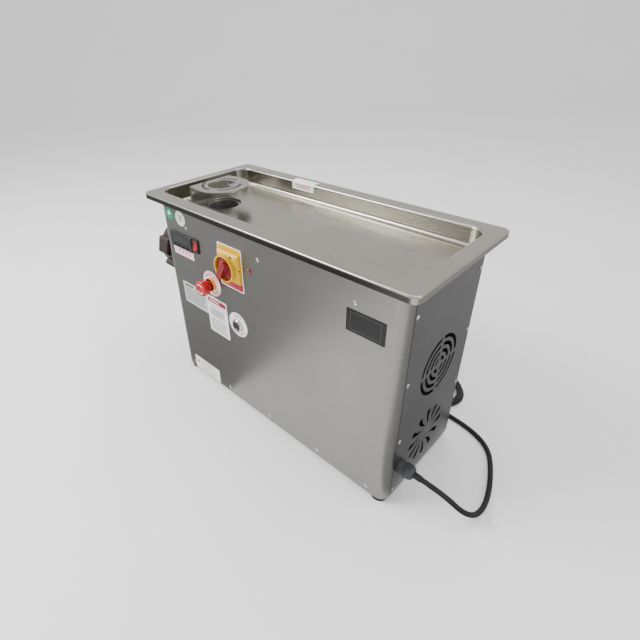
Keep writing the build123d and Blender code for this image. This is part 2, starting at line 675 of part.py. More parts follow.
with BuildPart() as head_lock_knob:
    rod(across(KNOB_X, KNOB_Y, KNOB_Z), 16, KNOB_LENGTH)
    with BuildSketch(across(KNOB_X, KNOB_Y, KNOB_Z)):
        with PolarLocations(14, 5):
            Circle(7)
    extrude(amount=KNOB_LENGTH - 6)
    rod(across(KNOB_X + KNOB_LENGTH, KNOB_Y, KNOB_Z), KNOB_PIN, CLAMP_X + 10 - KNOB_X - KNOB_LENGTH)
save(head_lock_knob, "head_lock_knob")

# ================================================================ head cooling
SADDLE_X = (LEFT_X + 12, BARREL_REAR - REAR_WALL - 2)
SADDLE_HALF = 58
SADDLE_BOTTOM = HEAD_Z - 60
COIL_TUBE = 4
COIL_Z = SADDLE_BOTTOM - COIL_TUBE - 0.2
COIL_RUNS = 6
COIL_PITCH = (SADDLE_X[1] - SADDLE_X[0] - 30) / (COIL_RUNS - 1)
COIL_FIRST = SADDLE_X[0] + 15
COIL_NEAR = HEAD_Y - 50
COIL_FAR = HEAD_Y + 50
COIL_EXIT = HEAD_Y + 90
BEND = COIL_PITCH / 2 - 0.2
FOAM = 16

with BuildPart() as cooling_saddle:
    box_between(
        (SADDLE_X[0], HEAD_Y - SADDLE_HALF, SADDLE_BOTTOM), (SADDLE_X[1], HEAD_Y + SADDLE_HALF, HEAD_Z)
    )
    rod(across(SADDLE_X[0]), BARREL_RADIUS + 0.05, SADDLE_X[1] - SADDLE_X[0], Mode.SUBTRACT)
    box_between(
        (CLAMP_X - 10, HEAD_Y + SADDLE_HALF, KNOB_Z - 14), (CLAMP_X + 14, KNOB_Y + 12, KNOB_Z + 8)
    )
    rod(across(CLAMP_X - 11, KNOB_Y, KNOB_Z), KNOB_PIN + RUNNING, 26, Mode.SUBTRACT)
save(cooling_saddle, "cooling_saddle")


def coil_points():
    """Out and back below the saddle; both ends leave on the rear side."""
    points = [(COIL_FIRST, COIL_EXIT, COIL_Z)]
    for run in range(COIL_RUNS):
        x = COIL_FIRST + run * COIL_PITCH
        ends = (COIL_FAR, COIL_NEAR) if run % 2 == 0 else (COIL_NEAR, COIL_FAR)
        if run > 0:
            points.append((x, ends[0], COIL_Z))
        if run < COIL_RUNS - 1:
            points.append((x, ends[1], COIL_Z))
    points.append((COIL_FIRST + (COIL_RUNS - 1) * COIL_PITCH, COIL_EXIT, COIL_Z))
    return points


def tube(points, bends, radius):
    """Round tube along straight runs with a bend at every corner."""
    with BuildLine() as path:
        FilletPolyline(*points, radius=bends)
    with BuildSketch(Plane(origin=path.line @ 0, z_dir=path.line % 0)) as section:
        Circle(radius)
    sweep(section.sketch, path=path.line)


with BuildPart() as evaporator_coil:
    tube(coil_points(), BEND, COIL_TUBE)
save(evaporator_coil, "evaporator_coil")

FOAM_TOP = COIL_Z - COIL_TUBE - 0.5
with BuildPart() as insulation:
    box_between(
        (SADDLE_X[0], HEAD_Y - SADDLE_HALF, FOAM_TOP - FOAM),
        (SADDLE_X[1], HEAD_Y + SADDLE_HALF, FOAM_TOP),
    )
    box_between(
        (SADDLE_X[0], HEAD_Y - SADDLE_HALF - FOAM, FOAM_TOP - FOAM),
        (SADDLE_X[1], HEAD_Y - SADDLE_HALF - 0.5, HEAD_Z),
    )
save(insulation, "insulation")

# ================================================================ gear train
SECOND_MODULE = 2.0
SECOND_TEETH = (54, 18)
FIRST_MODULE = 1.5
FIRST_TEETH = (60, 18)
SECOND_CENTRES = SECOND_MODULE * sum(SECOND_TEETH) / 2
FIRST_CENTRES = FIRST_MODULE * sum(FIRST_TEETH) / 2
SECOND_DIRECTION = -100
FIRST_DIRECTION = -60
LAYSHAFT_Y = HEAD_Y + SECOND_CENTRES * cos(radians(SECOND_DIRECTION))
LAYSHAFT_Z = HEAD_Z + SECOND_CENTRES * sin(radians(SECOND_DIRECTION))
MOTOR_Y = LAYSHAFT_Y + FIRST_CENTRES * cos(radians(FIRST_DIRECTION))
MOTOR_Z = LAYSHAFT_Z + FIRST_CENTRES * sin(radians(FIRST_DIRECTION))
GEARBOX_X = BARREL_REAR
GEARBOX_WALL = 14
COVER_X = GEARBOX_X + 57
COVER_THICKNESS = 12
GEARBOX_SKIN = 5
GEARBOX_LOBES = (
    (HEAD_Y, HEAD_Z, 64),
    (LAYSHAFT_Y, LAYSHAFT_Z, 54),
    (MOTOR_Y, MOTOR_Z, 40),
)
BEARING_OUTER = 23
LAYSHAFT_RADIUS = 10
LAYSHAFT_BEARING = 17
BEARING_WIDTH = 10
MOTOR_BORE = 20
PRESSURE_ANGLE = 20
BACKLASH = 0.2


def gearbox_outline(x, inset):
    """Plan of the gearbox: a hull round its three shafts."""
    with BuildSketch(across(x, 0, 0)) as section:
        for y, z, radius in GEARBOX_LOBES:
            with Locations((y, z)):
                Circle(radius - inset)
        make_hull()
    return section.sketch


def involute(base, radius):
    """Angle in radians at which an involute from this base circle reaches a radius."""
    rise = sqrt(max((radius / base) ** 2 - 1, 0))
    return rise - pi / 2 + asin(min(base / radius, 1))


def gear_sketch(plane, teeth, module, phase, bore):
    """Spur gear; phase is the direction of the middle of one tooth, in degrees."""
    pitch = module * teeth / 2
    base = pitch * cos(radians(PRESSURE_ANGLE))
    tip = pitch + 0.9 * module
    root = pitch - 1.2 * module
    low = max(base, root + 0.05)
    half_pitch = pi / (2 * teeth) - BACKLASH / (2 * pitch)
    at_pitch = half_pitch + involute(base, pitch)
    steps = [low + (tip - low) * step / 4 for step in range(5)]
    flank = [(r, at_pitch - involute(base, r)) for r in steps]
    half = [(root, flank[0][1])] + flank
    corners = [(r, -a) for r, a in half] + [(r, a) for r, a in reversed(half)]
    with BuildSketch(plane) as section:
        Circle(root + 0.02)
        for tooth in range(teeth):
            turn = radians(phase) + 2 * pi * tooth / teeth
            with BuildLine():
                Polyline(*[(r * cos(turn + a), r * sin(turn + a)) for r, a in corners], close=True)
            make_face()
        if bore:
            Circle(bore, mode=Mode.SUBTRACT)
    return section.sketch


with BuildPart() as gearbox_housing:
    extrude(gearbox_outline(GEARBOX_X, 0), amount=COVER_X - GEARBOX_X)
    extrude(
        gearbox_outline(GEARBOX_X + GEARBOX_WALL, GEARBOX_SKIN),
        amount=COVER_X - GEARBOX_X,
        mode=Mode.SUBTRACT,
    )
    rod(across(GEARBOX_X), BEARING_OUTER, GEARBOX_WALL, Mode.SUBTRACT)
    rod(
        across(GEARBOX_X + 4, LAYSHAFT_Y, LAYSHAFT_Z),
        LAYSHAFT_BEARING,
        GEARBOX_WALL,
        Mode.SUBTRACT,
    )
save(gearbox_housing, "gearbox_housing")

with BuildPart() as gearbox_cover:
    extrude(gearbox_outline(COVER_X, 0), amount=COVER_THICKNESS)
    rod(across(COVER_X), BEARING_OUTER, COVER_THICKNESS - 2, Mode.SUBTRACT)
    rod(across(COVER_X, LAYSHAFT_Y, LAYSHAFT_Z), LAYSHAFT_BEARING, COVER_THICKNESS - 2, Mode.SUBTRACT)
    rod(across(COVER_X, MOTOR_Y, MOTOR_Z), MOTOR_BORE, COVER_THICKNESS, Mode.SUBTRACT)
save(gearbox_cover, "gearbox_cover")

SECOND_X = GEARBOX_X + 17
SECOND_FACE = 20
FIRST_X = GEARBOX_X + 40
FIRST_FACE = 14

with BuildPart() as output_shaft:
    rod(across(SCREW_REAR), SHAFT_RADIUS, COVER_X + 9 - SCREW_REAR)
    bar(across(SCREW_REAR), SQUARE_TAIL + 0.1, SQUARE_TAIL + 0.1, TAIL_LENGTH + 1, Mode.SUBTRACT)
save(output_shaft, "output_shaft")

with BuildPart() as output_gear:
    extrude(
        gear_sketch(across(SECOND_X), SECOND_TEETH[0], SECOND_MODULE, SECOND_DIRECTION, SHAFT_RADIUS),
        amount=SECOND_FACE,
    )
save(output_gear, "output_gear")

with BuildPart() as layshaft:
    rod(across(GEARBOX_X + 5, LAYSHAFT_Y, LAYSHAFT_Z), LAYSHAFT_RADIUS, COVER_X + 4 - GEARBOX_X)
    extrude(
        gear_sketch(
            across(SECOND_X, LAYSHAFT_Y, LAYSHAFT_Z),
            SECOND_TEETH[1],
            SECOND_MODULE,
            SECOND_DIRECTION + 180 + 180 / SECOND_TEETH[1],
            0,
        ),
        amount=SECOND_FACE,
    )
save(layshaft, "layshaft")

with BuildPart() as layshaft_gear:
    extrude(
        gear_sketch(
            across(FIRST_X, LAYSHAFT_Y, LAYSHAFT_Z),
            FIRST_TEETH[0],
            FIRST_MODULE,
            FIRST_DIRECTION,
            LAYSHAFT_RADIUS,
        ),
        amount=FIRST_FACE,
    )
save(layshaft_gear, "layshaft_gear")

# ================================================================ motor
MOTOR_X = COVER_X + COVER_THICKNESS
MOTOR_LENGTH = 150
MOTOR_RADIUS = 64
FIN_RADIUS = 68
FIN_COUNT = 36
MOTOR_WALL = 5
STATOR_INNER = 36.4
ROTOR_RADIUS = 36
MOTOR_SHAFT = 9
MOTOR_BEARING = 16
END_PLATE = 8

with BuildPart() as motor_housing:
    rod(across(MOTOR_X, MOTOR_Y, MOTOR_Z), MOTOR_RADIUS, MOTOR_LENGTH)
    with BuildSketch(across(MOTOR_X + 10, MOTOR_Y, MOTOR_Z)):
        with PolarLocations(MOTOR_RADIUS, FIN_COUNT):
            Rectangle(2 * (FIN_RADIUS - MOTOR_RADIUS), 2.4)
    extrude(amount=MOTOR_LENGTH - 20)
    rod(
        across(MOTOR_X + END_PLATE, MOTOR_Y, MOTOR_Z),
        MOTOR_RADIUS - MOTOR_WALL,
        MOTOR_LENGTH,
        Mode.SUBTRACT,
    )
    rod(across(MOTOR_X, MOTOR_Y, MOTOR_Z), MOTOR_BEARING, END_PLATE, Mode.SUBTRACT)
save(motor_housing, "motor_housing")

with BuildPart() as motor_end_cover:
    end_x = MOTOR_X + MOTOR_LENGTH
    rod(across(end_x, MOTOR_Y, MOTOR_Z), MOTOR_RADIUS, END_PLATE)
    rod(across(end_x, MOTOR_Y, MOTOR_Z), MOTOR_BEARING, END_PLATE, Mode.SUBTRACT)
save(motor_end_cover, "motor_end_cover")

with BuildPart() as bearings:
    for x in (GEARBOX_X + 4, COVER_X):
        ring(across(x), BEARING_OUTER, SHAFT_RADIUS + RUNNING, BEARING_WIDTH)
        ring(
            across(x, LAYSHAFT_Y, LAYSHAFT_Z), LAYSHAFT_BEARING, LAYSHAFT_RADIUS + RUNNING, BEARING_WIDTH
        )
    for x in (MOTOR_X, end_x):
        ring(across(x, MOTOR_Y, MOTOR_Z), MOTOR_BEARING, MOTOR_SHAFT + RUNNING, END_PLATE)
save(bearings, "bearings")

with BuildPart() as shaft_seal:
    ring(across(GEARBOX_X), BEARING_OUTER, SHAFT_RADIUS + RUNNING, 3.8)
save(shaft_seal, "shaft_seal")

CORE_X = MOTOR_X + 32
CORE_LENGTH = 90
with BuildPart() as motor_stator:
    ring(across(CORE_X, MOTOR_Y, MOTOR_Z), MOTOR_RADIUS - MOTOR_WALL, STATOR_INNER, CORE_LENGTH)
    for winding_x in (CORE_X - 14, CORE_X + CORE_LENGTH):
        ring(across(winding_x, MOTOR_Y, MOTOR_Z), 54, STATOR_INNER + 3, 14)
save(motor_stator, "motor_stator")

FAN_X = end_x + END_PLATE + 3
with BuildPart() as motor_rotor:
    rod(across(CORE_X, MOTOR_Y, MOTOR_Z), ROTOR_RADIUS, CORE_LENGTH)
    rod(across(FIRST_X - 1, MOTOR_Y, MOTOR_Z), MOTOR_SHAFT, FAN_X + 14 - FIRST_X)
    extrude(
        gear_sketch(
            across(FIRST_X, MOTOR_Y, MOTOR_Z),
            FIRST_TEETH[1],
            FIRST_MODULE,
            FIRST_DIRECTION + 180 + 180 / FIRST_TEETH[1],
            0,
        ),
        amount=FIRST_FACE,
    )
save(motor_rotor, "motor_rotor")

with BuildPart() as motor_fan:
    ring(across(FAN_X, MOTOR_Y, MOTOR_Z), 18, MOTOR_SHAFT, 14)
    with BuildSketch(across(FAN_X, MOTOR_Y, MOTOR_Z)):
        with PolarLocations(36, 8):
            Rectangle(40, 3)
    extrude(amount=12)
save(motor_fan, "motor_fan")

STAND_FLOOR = FOOT_HEIGHT + FRAME_SHEET
STAND_SHEET = 5
HEAD_STAND_X = (SADDLE_X[0] + 20, SADDLE_X[1] - 20)
HEAD_STAND_TOP = FOAM_TOP - FOAM
with BuildPart() as machine_stands:
    for plate_x in (MOTOR_X + 22, MOTOR_X + 112):
        box_between(
            (plate_x, MOTOR_Y - 60, STAND_FLOOR), (plate_x + STAND_SHEET, MOTOR_Y + 60, MOTOR_Z - 20)
        )
    box_between(
        (MOTOR_X + 22, MOTOR_Y - 60, STAND_FLOOR),
        (MOTOR_X + 112 + STAND_SHEET, MOTOR_Y + 60, STAND_FLOOR + STAND_SHEET),
    )
    rod(across(MOTOR_X + 10, MOTOR_Y, MOTOR_Z), FIN_RADIUS + 0.1, MOTOR_LENGTH, Mode.SUBTRACT)
    for leg_x in (GEARBOX_X + 2, COVER_X):
        box_between(
            (leg_x, MOTOR_Y - 34, STAND_FLOOR), (leg_x + STAND_SHEET, MOTOR_Y + 34, MOTOR_Z - 41)
        )
    box_between(
        (GEARBOX_X + 2, MOTOR_Y - 34, MOTOR_Z - 46),
        (COVER_X + STAND_SHEET, MOTOR_Y + 34, MOTOR_Z - 40.1),
    )
    box_between(
        (HEAD_STAND_X[0], HEAD_Y - 60, HEAD_STAND_TOP - STAND_SHEET),
        (HEAD_STAND_X[1], HEAD_Y + 60, HEAD_STAND_TOP),
    )
    for leg_x in (HEAD_STAND_X[0], HEAD_STAND_X[1] - STAND_SHEET):
        box_between(
            (leg_x, HEAD_Y - 60, STAND_FLOOR), (leg_x + STAND_SHEET, HEAD_Y + 60, HEAD_STAND_TOP)
        )
save(machine_stands, "machine_stands")

# ================================================================ refrigeration set
COMPRESSOR_X = RIGHT_X - 100
COMPRESSOR_Y = BODY_Y - 2
COMPRESSOR_RADIUS = 60
COMPRESSOR_LOW = STAND_FLOOR + 14
COMPRESSOR_HEIGHT = 140

with BuildPart() as compressor:
    with Locations((COMPRESSOR_X, COMPRESSOR_Y, COMPRESSOR_LOW + COMPRESSOR_HEIGHT / 2)):
        Cylinder(COMPRESSOR_RADIUS, COMPRESSOR_HEIGHT)
    fillet(compressor.edges().filter_by(GeomType.CIRCLE).group_by(Axis.Z)[-1], 34)
    fillet(compressor.edges().filter_by(GeomType.CIRCLE).group_by(Axis.Z)[0], 20)
    rod(
        Plane(origin=(COMPRESSOR_X, COMPRESSOR_Y, COMPRESSOR_LOW + 74)), COMPRESSOR_RADIUS + 3, 6
    )
    bar(
        Plane(origin=(COMPRESSOR_X, COMPRESSOR_Y, COMPRESSOR_LOW - 4)), 130, 130, 4, corner=12
    )
    rod(Plane(origin=(COMPRESSOR_X, COMPRESSOR_Y, COMPRESSOR_LOW)), 30, 10)
    box_between(
        (COMPRESSOR_X - 82, COMPRESSOR_Y - 20, COMPRESSOR_LOW + 40),
        (COMPRESSOR_X - 50, COMPRESSOR_Y + 20, COMPRESSOR_LOW + 76),
    )
    with Locations(*[(COMPRESSOR_X + i * 55, COMPRESSOR_Y + j * 55, COMPRESSOR_LOW - 2)
                     for i in (-1, 1) for j in (-1, 1)]):
        Cylinder(3.2, 6, mode=Mode.SUBTRACT)
save(compressor, "compressor")

with BuildPart() as compressor_mounts:
    for i in (-1, 1):
        for j in (-1, 1):
            corner = Plane(origin=(COMPRESSOR_X + i * 55, COMPRESSOR_Y + j * 55, STAND_FLOOR))
            rod(corner, 9, 10)
            rod(corner, 3, 18)
save(compressor_mounts, "compressor_mounts")

FAN_AXIS_Y = FRONT_Y + VENT_AT[0]
FAN_AXIS_Z = FOOT_HEIGHT + VENT_AT[1]
FAN_FRAME_X = RIGHT_X - SHEET - 42
FAN_DEPTH = 38
FAN_SIDE = 126
FAN_BORE = 60

with BuildPart() as fan_frame:
    bar(across(FAN_FRAME_X, FAN_AXIS_Y, FAN_AXIS_Z), FAN_SIDE, FAN_SIDE, FAN_DEPTH, corner=6)
    rod(across(FAN_FRAME_X, FAN_AXIS_Y, FAN_AXIS_Z), FAN_BORE, FAN_DEPTH, Mode.SUBTRACT)
    for spoke in range(4):
        spoke_plane = across(FAN_FRAME_X, FAN_AXIS_Y, FAN_AXIS_Z)
        with BuildSketch(spoke_plane) as spoke_section:
            with Locations(Rotation(0, 0, 45 + 90 * spoke)):
                with Locations((FAN_BORE / 2 + 1, 0)):
                    Rectangle(FAN_BORE + 2, 6)
        extrude(spoke_section.sketch, amount=5)
    rod(across(FAN_FRAME_X, FAN_AXIS_Y, FAN_AXIS_Z), 20, 18)
    rod(across(FAN_FRAME_X + 8, FAN_AXIS_Y, FAN_AXIS_Z), 4 + RUNNING, 12, Mode.SUBTRACT)
save(fan_frame, "fan_frame")

BLADE_COUNT = 7
with BuildPart() as fan_rotor:
    rod(across(FAN_FRAME_X + 19, FAN_AXIS_Y, FAN_AXIS_Z), 21, 14)
    rod(across(FAN_FRAME_X + 9, FAN_AXIS_Y, FAN_AXIS_Z), 4, 12)
    for blade in range(BLADE_COUNT):
        turn = 360 * blade / BLADE_COUNT
        blade_plane = Plane(
            origin=(FAN_FRAME_X + 26, FAN_AXIS_Y, FAN_AXIS_Z),
            x_dir=(sin(radians(35)), cos(radians(35)) * -sin(radians(turn)),
                   cos(radians(35)) * cos(radians(turn))),
            z_dir=(0, cos(radians(turn)), sin(radians(turn))),
        )
        with BuildSketch(blade_plane.offset(18)) as blade_section:
            Rectangle(20, 2)
        with BuildSketch(blade_plane.offset(55)) as tip_section:
            Rectangle(24, 1.6)
        loft([blade_section.sketch, tip_section.sketch])
save(fan_rotor, "fan_rotor")

CONDENSER_X = FAN_FRAME_X - 30
CONDENSER_HALF = 56
CONDENSER_OVERHANG = 9
CONDENSER_STUB = 4
CONDENSER_LOW = FAN_AXIS_Z - 66
CONDENSER_HIGH = FAN_AXIS_Z + 66
CONDENSER_RUNS = 8
CONDENSER_PITCH = 16
CONDENSER_TUBE = 4
FIN_PITCH = 6

CONDENSER_FIN_DEPTH = 44


def condenser_points():
    """Runs across the fins from the top down, both ends on the rear side."""
    top = FAN_AXIS_Z + CONDENSER_PITCH * (CONDENSER_RUNS - 1) / 2
    near = FAN_AXIS_Y - CONDENSER_HALF - CONDENSER_OVERHANG
    far = FAN_AXIS_Y + CONDENSER_HALF + CONDENSER_OVERHANG
    points = [(CONDENSER_X, far + CONDENSER_STUB, top)]
    for run in range(CONDENSER_RUNS):
        z = top - run * CONDENSER_PITCH
        ends = (far, near) if run % 2 == 0 else (near, far)
        if run > 0:
            points.append((CONDENSER_X, ends[0], z))
        if run < CONDENSER_RUNS - 1:
            points.append((CONDENSER_X, ends[1], z))
    points.append((CONDENSER_X, far + CONDENSER_STUB, top - (CONDENSER_RUNS - 1) * CONDENSER_PITCH))
    return points


with BuildPart() as condenser:
    tube(condenser_points(), CONDENSER_PITCH / 2 - 0.1, CONDENSER_TUBE)
    with Locations((CONDENSER_X, FAN_AXIS_Y, FAN_AXIS_Z)):
        with GridLocations(0, FIN_PITCH, 1, int(2 * CONDENSER_HALF / FIN_PITCH)):
            Box(CONDENSER_FIN_DEPTH, 0.6, CONDENSER_HIGH - CONDENSER_LOW)
save(condenser, "condenser")

# Refrigerant lines: compressor to condenser, condenser to drier, drier to coil, coil to compressor.
PIPE = 4
CONDENSER_END_Y = FAN_AXIS_Y + CONDENSER_HALF + CONDENSER_OVERHANG + CONDENSER_STUB
CONDENSER_TOP_Z = FAN_AXIS_Z + CONDENSER_PITCH * (CONDENSER_RUNS - 1) / 2
CONDENSER_END_Z = FAN_AXIS_Z - CONDENSER_PITCH * (CONDENSER_RUNS - 1) / 2
COIL_LAST = COIL_FIRST + (COIL_RUNS - 1) * COIL_PITCH
DRIER_RADIUS = 9
DRIER_LENGTH = 70
DRIER_X = CONDENSER_X - 150
LINE_Y = REAR_Y - 22
SUCTION_Y = REAR_Y - 10
SUCTION_Z = COIL_Z + 86
PORT_Z = COMPRESSOR_LOW + 100
PORT_BEND = 11

RISER_OFFSET = 50
RISER_X = COMPRESSOR_X + RISER_OFFSET
RISER_Y = CONDENSER_END_Y + 18
SUCTION_OFFSET = -30
SUCTION_X = COMPRESSOR_X + SUCTION_OFFSET


def shell_side(offset_x):
    """Y of the compressor shell's rear side at a distance from its axis, just inside its wall."""
    return COMPRESSOR_Y + sqrt(COMPRESSOR_RADIUS**2 - offset_x**2) - 1


LINES = (
    # condenser to drier
    (
        (CONDENSER_X, CONDENSER_END_Y, CONDENSER_END_Z),
        (CONDENSER_X, LINE_Y, CONDENSER_END_Z),
        (DRIER_X + DRIER_LENGTH, LINE_Y, CONDENSER_END_Z),
    ),
    # drier to the head's coil
    (
        (DRIER_X, LINE_Y, CONDENSER_END_Z),
        (DRIER_X - 40, LINE_Y, CONDENSER_END_Z),
        (DRIER_X - 40, LINE_Y, COIL_Z),
        (COIL_LAST, LINE_Y, COIL_Z),
        (COIL_LAST, COIL_EXIT, COIL_Z),
    ),
    # coil back to the compressor
    (
        (COIL_FIRST, COIL_EXIT, COIL_Z),
        (COIL_FIRST, SUCTION_Y, COIL_Z),
        (COIL_FIRST, SUCTION_Y, SUCTION_Z),
        (SUCTION_X, SUCTION_Y, SUCTION_Z),
        (SUCTION_X, SUCTION_Y, PORT_Z),
        (SUCTION_X, shell_side(SUCTION_OFFSET), PORT_Z),
    ),
    # compressor to condenser
    (
        (RISER_X, shell_side(RISER_OFFSET), PORT_Z),
        (RISER_X, RISER_Y, PORT_Z),
        (RISER_X, RISER_Y, CONDENSER_TOP_Z),
        (CONDENSER_X, RISER_Y, CONDENSER_TOP_Z),
        (CONDENSER_X, CONDENSER_END_Y, CONDENSER_TOP_Z),
    ),
)
with BuildPart() as refrigerant_lines:
    for route in LINES:
        tube(route, PORT_BEND, PIPE)
save(refrigerant_lines, "refrigerant_lines")

with BuildPart() as filter_drier:
    rod(across(DRIER_X, LINE_Y, CONDENSER_END_Z), DRIER_RADIUS, DRIER_LENGTH)
    fillet(filter_drier.edges().filter_by(GeomType.CIRCLE), 4)
save(filter_drier, "filter_drier")

# ================================================================ electrics
CABINET_BOX_LOW = (MOTOR_X + 40, FRONT_Y + 12, STAND_FLOOR)
CABINET_BOX_HIGH = (MOTOR_X + 160, MOTOR_Y - 70, STAND_FLOOR + 150)

with BuildPart() as electrical_box:
    box_between(CABINET_BOX_LOW, CABINET_BOX_HIGH)
    box_between(
        [low + 2.5 for low in CABINET_BOX_LOW], [high - 2.5 for high in CABINET_BOX_HIGH], mode=Mode.SUBTRACT
    )
save(electrical_box, "electrical_box")

with BuildPart() as contactor:
    box_between(
        (CABINET_BOX_LOW[0] + 10, CABINET_BOX_LOW[1] + 2.5, CABINET_BOX_LOW[2] + 60),
        (CABINET_BOX_LOW[0] + 56, CABINET_BOX_HIGH[1] - 12, CABINET_BOX_LOW[2] + 130),
    )
    box_between(
        (CABINET_BOX_LOW[0] + 12, CABINET_BOX_LOW[1] + 2.5, CABINET_BOX_LOW[2] + 16),
        (CABINET_BOX_LOW[0] + 104, CABINET_BOX_LOW[1] + 20, CABINET_BOX_LOW[2] + 34),
    )
save(contactor, "contactor")

# ================================================================ controls
BEZEL = 5
DISPLAY_SIZE = (62, 19)
with BuildPart() as thermostat:
    bar(FRONT, *THERMOSTAT_SIZE, BEZEL, at=THERMOSTAT_AT, corner=3)
    chamfer(thermostat.faces().sort_by(Axis.Y)[0].edges(), 1.2)
    bar(FRONT, THERMOSTAT_CUT[0] - 0.4, THERMOSTAT_CUT[1] - 0.4, -56, at=THERMOSTAT_AT)
    window_at = (THERMOSTAT_AT[0], THERMOSTAT_AT[1] + 4)
    bar(FRONT.offset(BEZEL - 1), *DISPLAY_SIZE, 2, Mode.SUBTRACT, window_at, 2)
save(thermostat, "thermostat")

ROCKER_FRONT = 3
with BuildPart() as rocker_housing:
    bar(FRONT, *ROCKER_SIZE, ROCKER_FRONT, at=ROCKER_AT, corner=1.5)
    bar(FRONT, ROCKER_CUT[0] - 0.4, ROCKER_CUT[1] - 0.4, -26, at=ROCKER_AT)
    bar(FRONT.offset(ROCKER_FRONT), 14, 24.6, -14, Mode.SUBTRACT, ROCKER_AT)
save(rocker_housing, "rocker_housing")

ROCKER_TILT = 8
ROCKER_AXIS_DEPTH = 3
rocker_x = CONTROLS_X + ROCKER_AT[0]
rocker_z = FOOT_HEIGHT + ROCKER_AT[1]
with BuildPart() as rocker:
    tilt_plane = Plane(
        origin=(rocker_x - 6.6, FRONT_Y + ROCKER_AXIS_DEPTH, rocker_z),
        x_dir=(0, -cos(radians(ROCKER_TILT)), sin(radians(ROCKER_TILT))),
        z_dir=(1, 0, 0),
    )
    with BuildSketch(tilt_plane):
        with BuildLine():
            Polyline((7.5, -11), (-3, -8), (-5, 0), (-3, 8), (7.5, 11))
            ThreePointArc((7.5, 11), (5.2, 0), (7.5, -11))
        make_face()
    extrude(amount=13.2)
save(rocker, "rocker")

SWITCH_PLATE = 9
COLLAR = 28.5
COLLAR_HEIGHT = 19
HANDLE = 25.5
GRIP_ANGLE = 60
with BuildPart() as switch_escutcheon:
    bar(FRONT.offset(0.6), SWITCH_SIZE, SWITCH_SIZE, SWITCH_PLATE, at=SWITCH_AT)
    chamfer(switch_escutcheon.faces().sort_by(Axis.Y)[0].edges(), 5)
    with BuildSketch(FRONT.offset(SWITCH_PLATE)) as collar_section:
        with Locations(SWITCH_AT):
            Circle(COLLAR)
    extrude(collar_section.sketch, amount=COLLAR_HEIGHT - SWITCH_PLATE)
    with BuildSketch(FRONT.offset(SWITCH_PLATE - 2)) as well_section:
        with Locations(SWITCH_AT):
            Circle(HANDLE + 0.4)
    extrude(well_section.sketch, amount=COLLAR_HEIGHT, mode=Mode.SUBTRACT)
    with BuildSketch(FRONT.offset(0.6)) as neck_section:
        with Locations(SWITCH_AT):
            Circle(STOP_HOLE)
    extrude(neck_section.sketch, amount=-5)
    bar(FRONT.offset(-3), 45, 45, -38, at=SWITCH_AT)
    with BuildSketch(FRONT.offset(-6)) as bore_section:
        with Locations(SWITCH_AT):
            Circle(4.1)
    extrude(bore_section.sketch, amount=20, mode=Mode.SUBTRACT)
save(switch_escutcheon, "switch_escutcheon")

with BuildPart() as switch_handle:
    with BuildSketch(FRONT.offset(SWITCH_PLATE - 1.6)):
        with Locations(SWITCH_AT):
            Circle(HANDLE)
    extrude(amount=7)
    with BuildSketch(FRONT.offset(SWITCH_PLATE + 4)):
        with Locations(Location((SWITCH_AT[0], SWITCH_AT[1], 0), (0, 0, GRIP_ANGLE))):
            SlotOverall(2 * HANDLE - 1, 13)
    extrude(amount=16)
    fillet(switch_handle.faces().sort_by(Axis.Y)[0].edges(), 3)
    with BuildSketch(FRONT.offset(-5.5)) as spindle_section:
        with Locations(SWITCH_AT):
            Circle(4.04)
    extrude(spindle_section.sketch, amount=SWITCH_PLATE + 6)
save(switch_handle, "switch_handle")


def revolved_on_front(place, points):
    """Turned piece about an axis out of the front panel; points are (radius, height)."""
    origin = Vector(CONTROLS_X + place[0], FRONT_Y, FOOT_HEIGHT + place[1])
    with BuildSketch(Plane(origin=origin, x_dir=(1, 0, 0), z_dir=(0, 0, 1))) as section:
        with BuildLine():
            Polyline(*[(radius, -height) for radius, height in points], close=True)
        make_face()
    revolve(section.sketch, axis=Axis(origin, (0, -1, 0)))


CONTACT_BLOCK = (30, 40, -9)
STOP_CONTACT_BLOCK = (30, 40, -5)      # width, height, depth inwards
with BuildPart() as emergency_stop_base:
    revolved_on_front(STOP_AT, [(0, -24), (11, -24), (11, 0.6), (15, 0.6), (15, 7), (0, 7)])
    bar(FRONT.offset(-24), *STOP_CONTACT_BLOCK, at=STOP_AT)
    holes(FRONT.offset(10), [STOP_AT], 8.5, 30.5)
save(emergency_stop_base, "emergency_stop_base")

with BuildPart() as emergency_stop_button:
    revolved_on_front(
        STOP_AT,
        [(0, -14), (8, -14), (8, 11), (12.5, 12), (13, 14), (18, 18), (18, 29), (15.5, 32), (10, 33), (0, 33)],
    )
save(emergency_stop_button, "emergency_stop_button")

with BuildPart() as start_button_base:
    revolved_on_front(START_AT, [(0, -24), (11, -24), (11, 0.6), (15, 0.6), (15, 4), (13, 6), (0, 6)])
    bar(FRONT.offset(-24), *CONTACT_BLOCK, at=START_AT)
    holes(FRONT.offset(10), [START_AT], 10, 25)
save(start_button_base, "start_button_base")

with BuildPart() as start_button:
    revolved_on_front(START_AT, [(0, -9), (9.6, -9), (9.6, 6), (8.6, 7), (0, 7)])
save(start_button, "start_button")

with BuildPart() as indicator_lamp:
    revolved_on_front(LAMP_AT, [(0, -24), (4, -24), (4, 0), (6, 0), (6, 1.2), (4.6, 3), (0, 4)])
save(indicator_lamp, "indicator_lamp")

